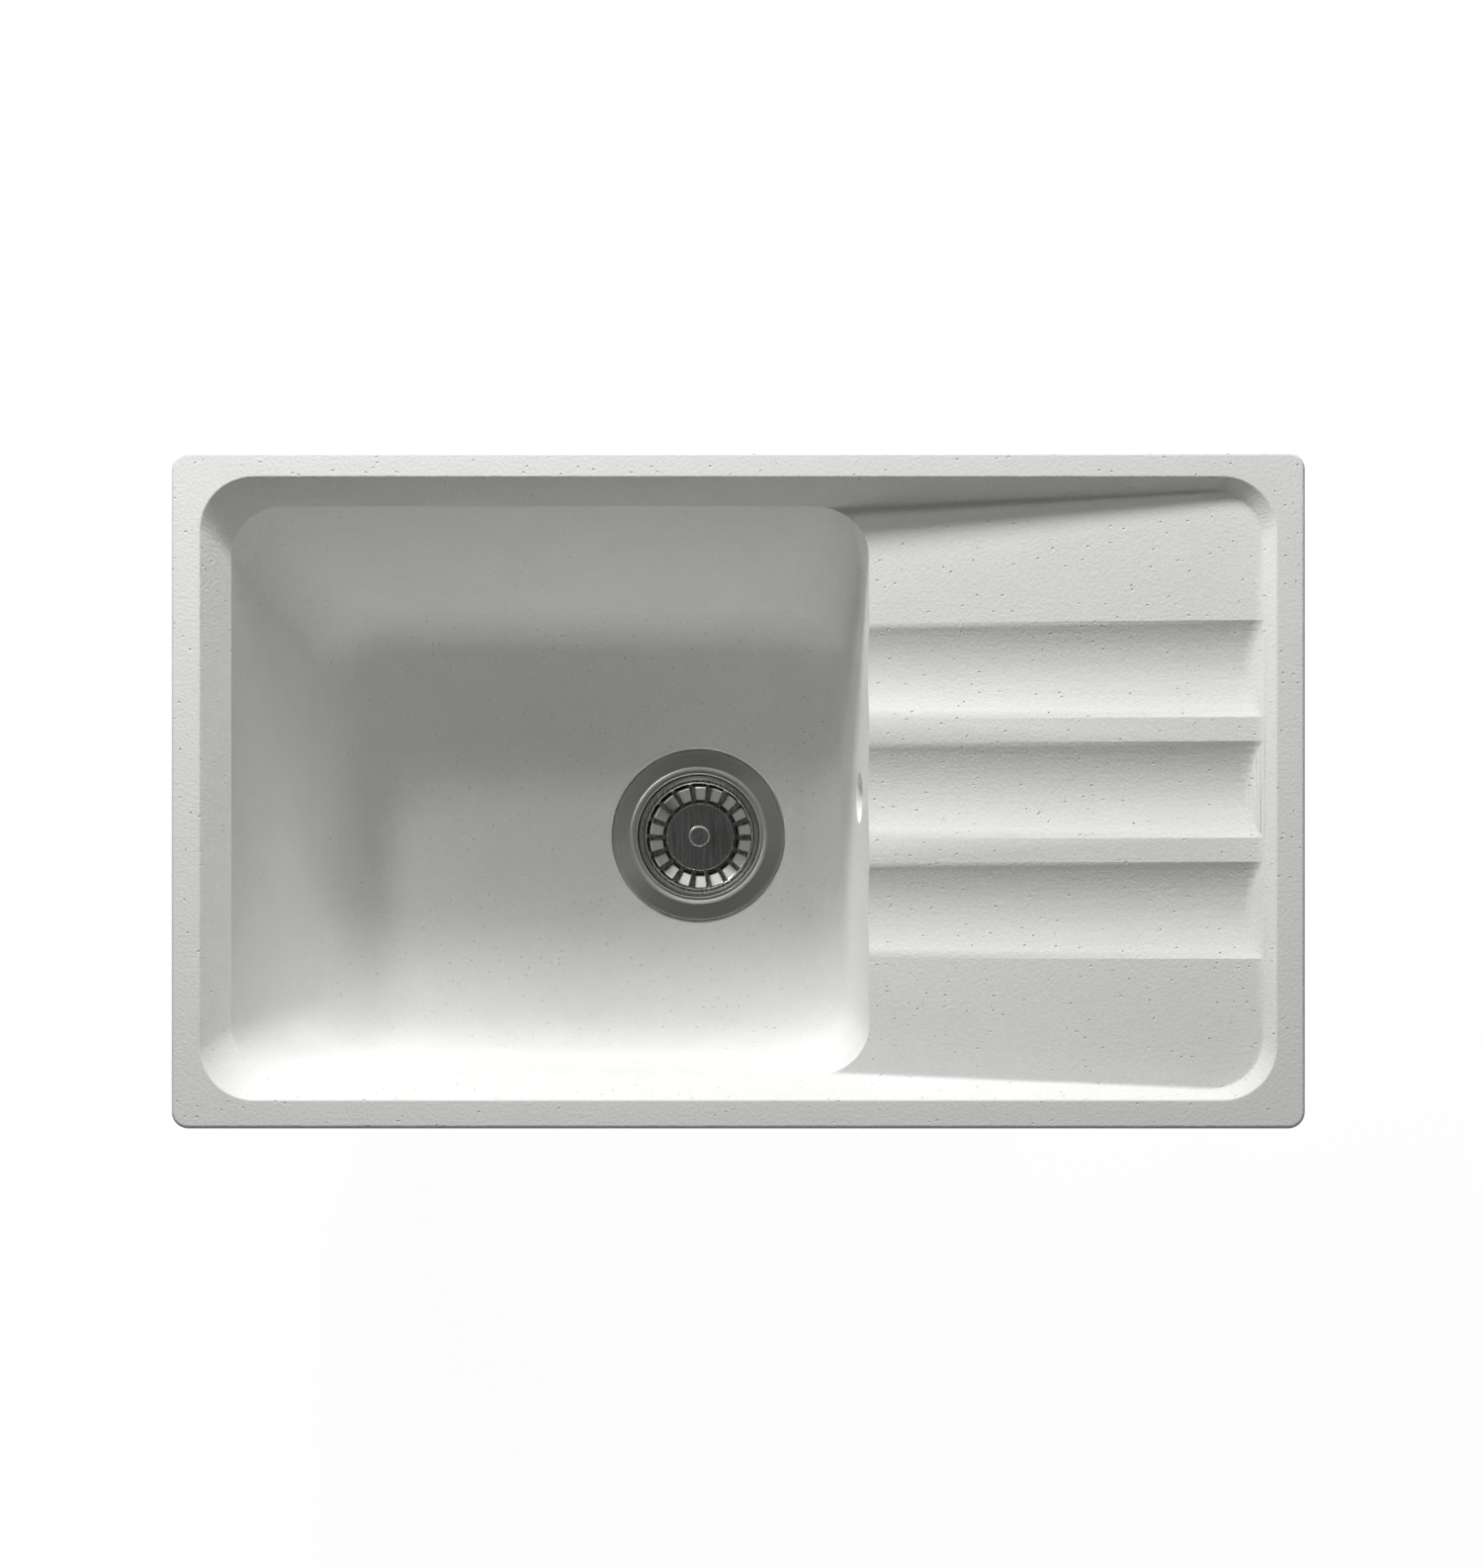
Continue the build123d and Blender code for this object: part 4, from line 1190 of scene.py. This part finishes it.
def sink_shell(finish):
    """The moulding: the solid's own mesh with its triangles joined, so that its faces shade as one surface.

    The grooves' edges stay crisp, and the edge of the bowl's mouth gets a fine rounding that catches light.
    """
    mesh = frame["nodes"]["sink_body"].data.copy()
    mesh.name = "sink_shell"
    mesh.attributes.remove(mesh.attributes["custom_normal"])
    piece = smooth("sink_shell", mesh)
    soften_end(mesh)
    ends = np.empty(len(mesh.edges) * 2, np.int32)
    mesh.edges.foreach_get("vertices", ends)
    place = points_of(mesh)[ends.reshape(-1, 2)]
    lines = np.concatenate([groove_middles - groove_width / 2, groove_middles + groove_width / 2])
    beside = np.abs(place[..., 1, None] - lines).min(axis=-1).max(axis=1) < pick_margin
    on_groove = beside & (place[..., 0].min(axis=1) > mouth_high[0] - pick_margin)
    inside = (place > mouth_low - pick_margin) & (place < mouth_high + pick_margin)
    run = place[:, 1] - place[:, 0]
    level = np.abs(run[:, 2]) < steepest_mouth * np.linalg.norm(run, axis=1)
    at_mouth = inside.all(axis=(1, 2)) & level
    fine = creases(mesh, fine_crease_angle)
    coarse = creases(mesh, crease_angle)
    mesh.attributes["sharp_edge"].data.foreach_set("value", (coarse | (fine & on_groove)) & ~at_mouth)
    rounded = mesh.attributes.new("bevel_weight_edge", "FLOAT", "EDGE")
    rounded.data.foreach_set("value", (fine & at_mouth).astype(np.float32))
    bevel = piece.modifiers.new("mouth_rounding", "BEVEL")
    bevel.limit_method = "WEIGHT"
    bevel.width = mouth_edge_round
    bevel.segments = mouth_edge_segments
    piece.modifiers.move(1, 0)
    dress(piece, "sink", "composite", finish, "sink_body")


def lamp(name, place, power):
    """Oval area lamp that points at the sink, from its bearing, elevation, distance, width and height."""
    bearing, elevation, distance, width, height = place
    bearing, elevation = math.radians(bearing), math.radians(elevation)
    level = math.cos(elevation)
    aim = Vector((0.0, 0.0, cad_box[1][2]))
    away = Vector((math.sin(bearing) * level, math.cos(bearing) * level, math.sin(elevation)))
    stand = aim + distance * away
    light = bpy.data.lights.new(name, "AREA")
    light.shape = "ELLIPSE"
    light.size = width
    light.size_y = height
    light.energy = power
    made = bpy.data.objects.new(name, light)
    made.location = stand
    made.rotation_euler = (aim - stand).to_track_quat("-Z", "Y").to_euler()
    bpy.context.scene.collection.objects.link(made)
    return made


def seen_directly(tree):
    """One for camera, glossy and transmitted rays, nought for the rays that carry diffuse light."""
    rays = add(tree, "ShaderNodeLightPath")
    either = add(tree, "ShaderNodeMath", {
        0: rays.outputs["Is Camera Ray"], 1: rays.outputs["Is Glossy Ray"]}, operation="MAXIMUM")
    seen = add(tree, "ShaderNodeMath", {
        0: either.outputs["Value"], 1: rays.outputs["Is Transmission Ray"]}, operation="MAXIMUM")
    return seen.outputs["Value"]


def studio_sheet(name, corners, material):
    """Flat sheet with four corners, which stands in the studio."""
    mesh = bpy.data.meshes.new(name)
    mesh.from_pydata(corners, [], [(0, 1, 2, 3)])
    mesh.materials.append(material)
    made = bpy.data.objects.new(name, mesh)
    bpy.context.scene.collection.objects.link(made)
    return made


def white_floor(height):
    """Pale studio floor: mostly even white where it is seen; a share of real light keeps the shadow."""
    made, tree = new_material("studio_floor_paper")
    glow = add(tree, "ShaderNodeEmission", {"Color": white, "Strength": floor_glow})
    paper = add(tree, "ShaderNodeBsdfDiffuse", {"Color": (floor_paper, floor_paper, floor_paper, 1.0)})
    share = add(tree, "ShaderNodeMath", {0: seen_directly(tree), 1: floor_glow_share}, operation="MULTIPLY")
    front = add(tree, "ShaderNodeMixShader", {
        0: share.outputs["Value"], 1: paper.outputs["BSDF"], 2: glow.outputs["Emission"]})
    clear = add(tree, "ShaderNodeBsdfTransparent")
    side = add(tree, "ShaderNodeNewGeometry")
    both = add(tree, "ShaderNodeMixShader", {
        0: side.outputs["Backfacing"], 1: front.outputs["Shader"], 2: clear.outputs["BSDF"]})
    add(tree, "ShaderNodeOutputMaterial", {"Surface": both.outputs["Shader"]})
    reach = floor_reach
    return studio_sheet("studio_floor", [
        (-reach, -reach, height), (reach, -reach, height), (reach, reach, height),
        (-reach, reach, height)], made)


def card(name, low, high, height, level):
    """Level card between two corners that only reflections see."""
    made, tree = new_material(name + "_paper")
    glow = add(tree, "ShaderNodeEmission", {"Color": white, "Strength": level})
    add(tree, "ShaderNodeOutputMaterial", {"Surface": glow.outputs["Emission"]})
    piece = studio_sheet(name, [
        (low[0], low[1], height), (low[0], high[1], height), (high[0], high[1], height),
        (high[0], low[1], height)], made)
    piece.visible_camera = False
    piece.visible_diffuse = False
    piece.visible_shadow = False
    return piece


def shade_net(low, high):
    """Upright net behind the sink, unseen, that thins the key lamp's light on the outside of the bowl."""
    made, tree = new_material("shade_net_gauze")
    gauze = add(tree, "ShaderNodeBsdfTransparent", {"Color": (net_passes, net_passes, net_passes, 1.0)})
    add(tree, "ShaderNodeOutputMaterial", {"Surface": gauze.outputs["BSDF"]})
    reach, behind = net_reach, high[1] + net_gap
    net = studio_sheet("shade_net", [
        (-reach, behind, low[2]), (reach, behind, low[2]), (reach, behind, high[2]),
        (-reach, behind, high[2])], made)
    net.visible_camera = False
    net.visible_diffuse = False
    net.visible_glossy = False
    return net


def white_world(level):
    """Even light from all round, white where it is seen directly."""
    world = bpy.data.worlds.new("studio_world")
    world.use_nodes = True
    tree = world.node_tree
    tree.nodes.clear()
    even_light = add(tree, "ShaderNodeBackground", {"Color": white, "Strength": level})
    seen = add(tree, "ShaderNodeBackground", {"Color": white, "Strength": 1.0})
    mixed = add(tree, "ShaderNodeMixShader", {
        0: seen_directly(tree), 1: even_light.outputs["Background"], 2: seen.outputs["Background"]})
    add(tree, "ShaderNodeOutputWorld", {"Surface": mixed.outputs["Shader"]})
    bpy.context.scene.world = world


def photo_camera(scene, lens):
    """Camera of the photograph, which looks straight down."""
    view = bpy.data.cameras.new("photo_camera")
    view.sensor_width = sensor
    view.lens = lens
    view.shift_x, view.shift_y = camera_shift
    camera = bpy.data.objects.new("photo_camera", view)
    camera.location = camera_place
    scene.collection.objects.link(camera)
    scene.camera = camera
    return camera


class SINK_OT_body(bpy.types.Operator):
    """Make the composite moulding"""

    bl_idname = "sink.body"
    bl_label = "Sink body"

    def execute(self, context):
        sink_shell(quartz_composite(context.scene.sink_colours))
        return {"FINISHED"}


class SINK_OT_rim_seal(bpy.types.Operator):
    """Make the foam strip under the rim"""

    bl_idname = "sink.rim_seal"
    bl_label = "Rim seal"

    def execute(self, context):
        rim_strip(finish_of("closed_cell_foam"))
        return {"FINISHED"}


class SINK_OT_clips(bpy.types.Operator):
    """Make the clips and their screws, and finish their sleeves"""

    bl_idname = "sink.clips"
    bl_label = "Clips"

    def execute(self, context):
        zinc = finish_of("zinc_plated_steel")
        clips(zinc)
        clip_screws(zinc)
        paint("clip_inserts", finish_of("turned_brass"))
        return {"FINISHED"}


class SINK_OT_waste_flange(bpy.types.Operator):
    """Make the strainer flange, its seal and the clamp screw"""

    bl_idname = "sink.waste_flange"
    bl_label = "Strainer flange"

    def execute(self, context):
        waste_flange(finish_of("stainless_turned"), finish_of("stainless_polished_cup"))
        flat_seal("flange_seal_ring", "flange_seal", flange_seal_width, finish_of("black_rubber"))
        clamp_screw(finish_of("polished_steel_screw"))
        paint("clamp_insert", finish_of("turned_brass"))
        return {"FINISHED"}


class SINK_OT_basket(bpy.types.Operator):
    """Make the basket with its knob, stopper and nut"""

    bl_idname = "sink.basket"
    bl_label = "Basket"

    def execute(self, context):
        strainer_basket(context.scene.sink_sizes, finish_of("stainless_brushed"))
        basket_knob(finish_of("stainless_polished"))
        basket_stopper(finish_of("black_rubber"))
        stopper_nut(finish_of("zinc_plated_steel"))
        return {"FINISHED"}


class SINK_OT_waste_body(bpy.types.Operator):
    """Make the waste body and its seal"""

    bl_idname = "sink.waste_body"
    bl_label = "Waste body"

    def execute(self, context):
        waste_body(context.scene.sink_sizes, finish_of("polypropylene"))
        flat_seal("body_seal_ring", "body_seal", body_seal_width, finish_of("black_rubber"))
        return {"FINISHED"}


class SINK_OT_overflow(bpy.types.Operator):
    """Make the overflow elbow, pipe, nuts and seals"""

    bl_idname = "sink.overflow"
    bl_label = "Overflow"

    def execute(self, context):
        sizes = context.scene.sink_sizes
        plastic = finish_of("polypropylene")
        rubber = finish_of("black_rubber")
        overflow_elbow(plastic)
        overflow_seal(rubber)
        overflow_screws(finish_of("zinc_plated_steel"))
        overflow_pipe(plastic)
        slip_nut("overflow_nut_upper_ribbed", "overflow_nut_upper",
                 (elbow_axis_x, overflow[1], elbow_low.z), -up, sizes, plastic)
        slip_nut("overflow_nut_lower_ribbed", "overflow_nut_lower",
                 drain + pipe_way * spigot_end + up * pipe_axis_z, pipe_way, sizes, plastic)
        paint("overflow_ring_upper", rubber)
        paint("overflow_ring_lower", rubber)
        return {"FINISHED"}


class SINK_OT_stage(bpy.types.Operator):
    """Set the floor, the lamps, the white surroundings and the camera of the photograph"""

    bl_idname = "sink.stage"
    bl_label = "Studio"

    def execute(self, context):
        studio = context.scene.sink_studio
        lamps = [lamp(name + "_lamp", place, getattr(studio, name + "_power"))
                 for name, place in lamp_places.items()]
        white_world(studio.sky)
        camera = photo_camera(context.scene, studio.lens)
        context.scene.view_settings.view_transform = "Standard"
        papers = [card(name, *place) for name, place in cards.items()]
        white_floor(cad_box[0][2])
        shade_net(*cad_box)
        return {"FINISHED"}


class SINK_PT_panel(bpy.types.Panel):
    """Sizes, colours and studio of the sink"""

    bl_label = "Kitchen sink"
    bl_idname = "SINK_PT_panel"
    bl_space_type = "VIEW_3D"
    bl_region_type = "UI"
    bl_category = "Sink"

    def draw(self, context):
        for group in (context.scene.sink_sizes, context.scene.sink_colours, context.scene.sink_studio):
            for field in group.bl_rna.properties:
                if field.identifier not in ("rna_type", "name"):
                    self.layout.prop(group, field.identifier)
        for operator in operators:
            self.layout.operator(operator.bl_idname)


groups = {"sink_colours": SinkColours, "sink_sizes": SinkSizes, "sink_studio": SinkStudio}
operators = (SINK_OT_body, SINK_OT_rim_seal, SINK_OT_clips, SINK_OT_waste_flange, SINK_OT_basket,
             SINK_OT_waste_body, SINK_OT_overflow, SINK_OT_stage)


def register():
    """Add the classes and their settings."""
    for kind in (*groups.values(), *operators, SINK_PT_panel):
        bpy.utils.register_class(kind)
    for name, kind in groups.items():
        setattr(bpy.types.Scene, name, bpy.props.PointerProperty(type=kind))


def unregister():
    """Take the classes and their settings away again."""
    for name in groups:
        delattr(bpy.types.Scene, name)
    for kind in reversed((*groups.values(), *operators, SINK_PT_panel)):
        bpy.utils.unregister_class(kind)


def main():
    """Make every piece and the studio."""
    register()
    bpy.ops.sink.body()
    bpy.ops.sink.rim_seal()
    bpy.ops.sink.clips()
    bpy.ops.sink.waste_flange()
    bpy.ops.sink.basket()
    bpy.ops.sink.waste_body()
    bpy.ops.sink.overflow()
    bpy.ops.sink.stage()
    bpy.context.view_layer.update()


if __name__ == "__main__":
    main()
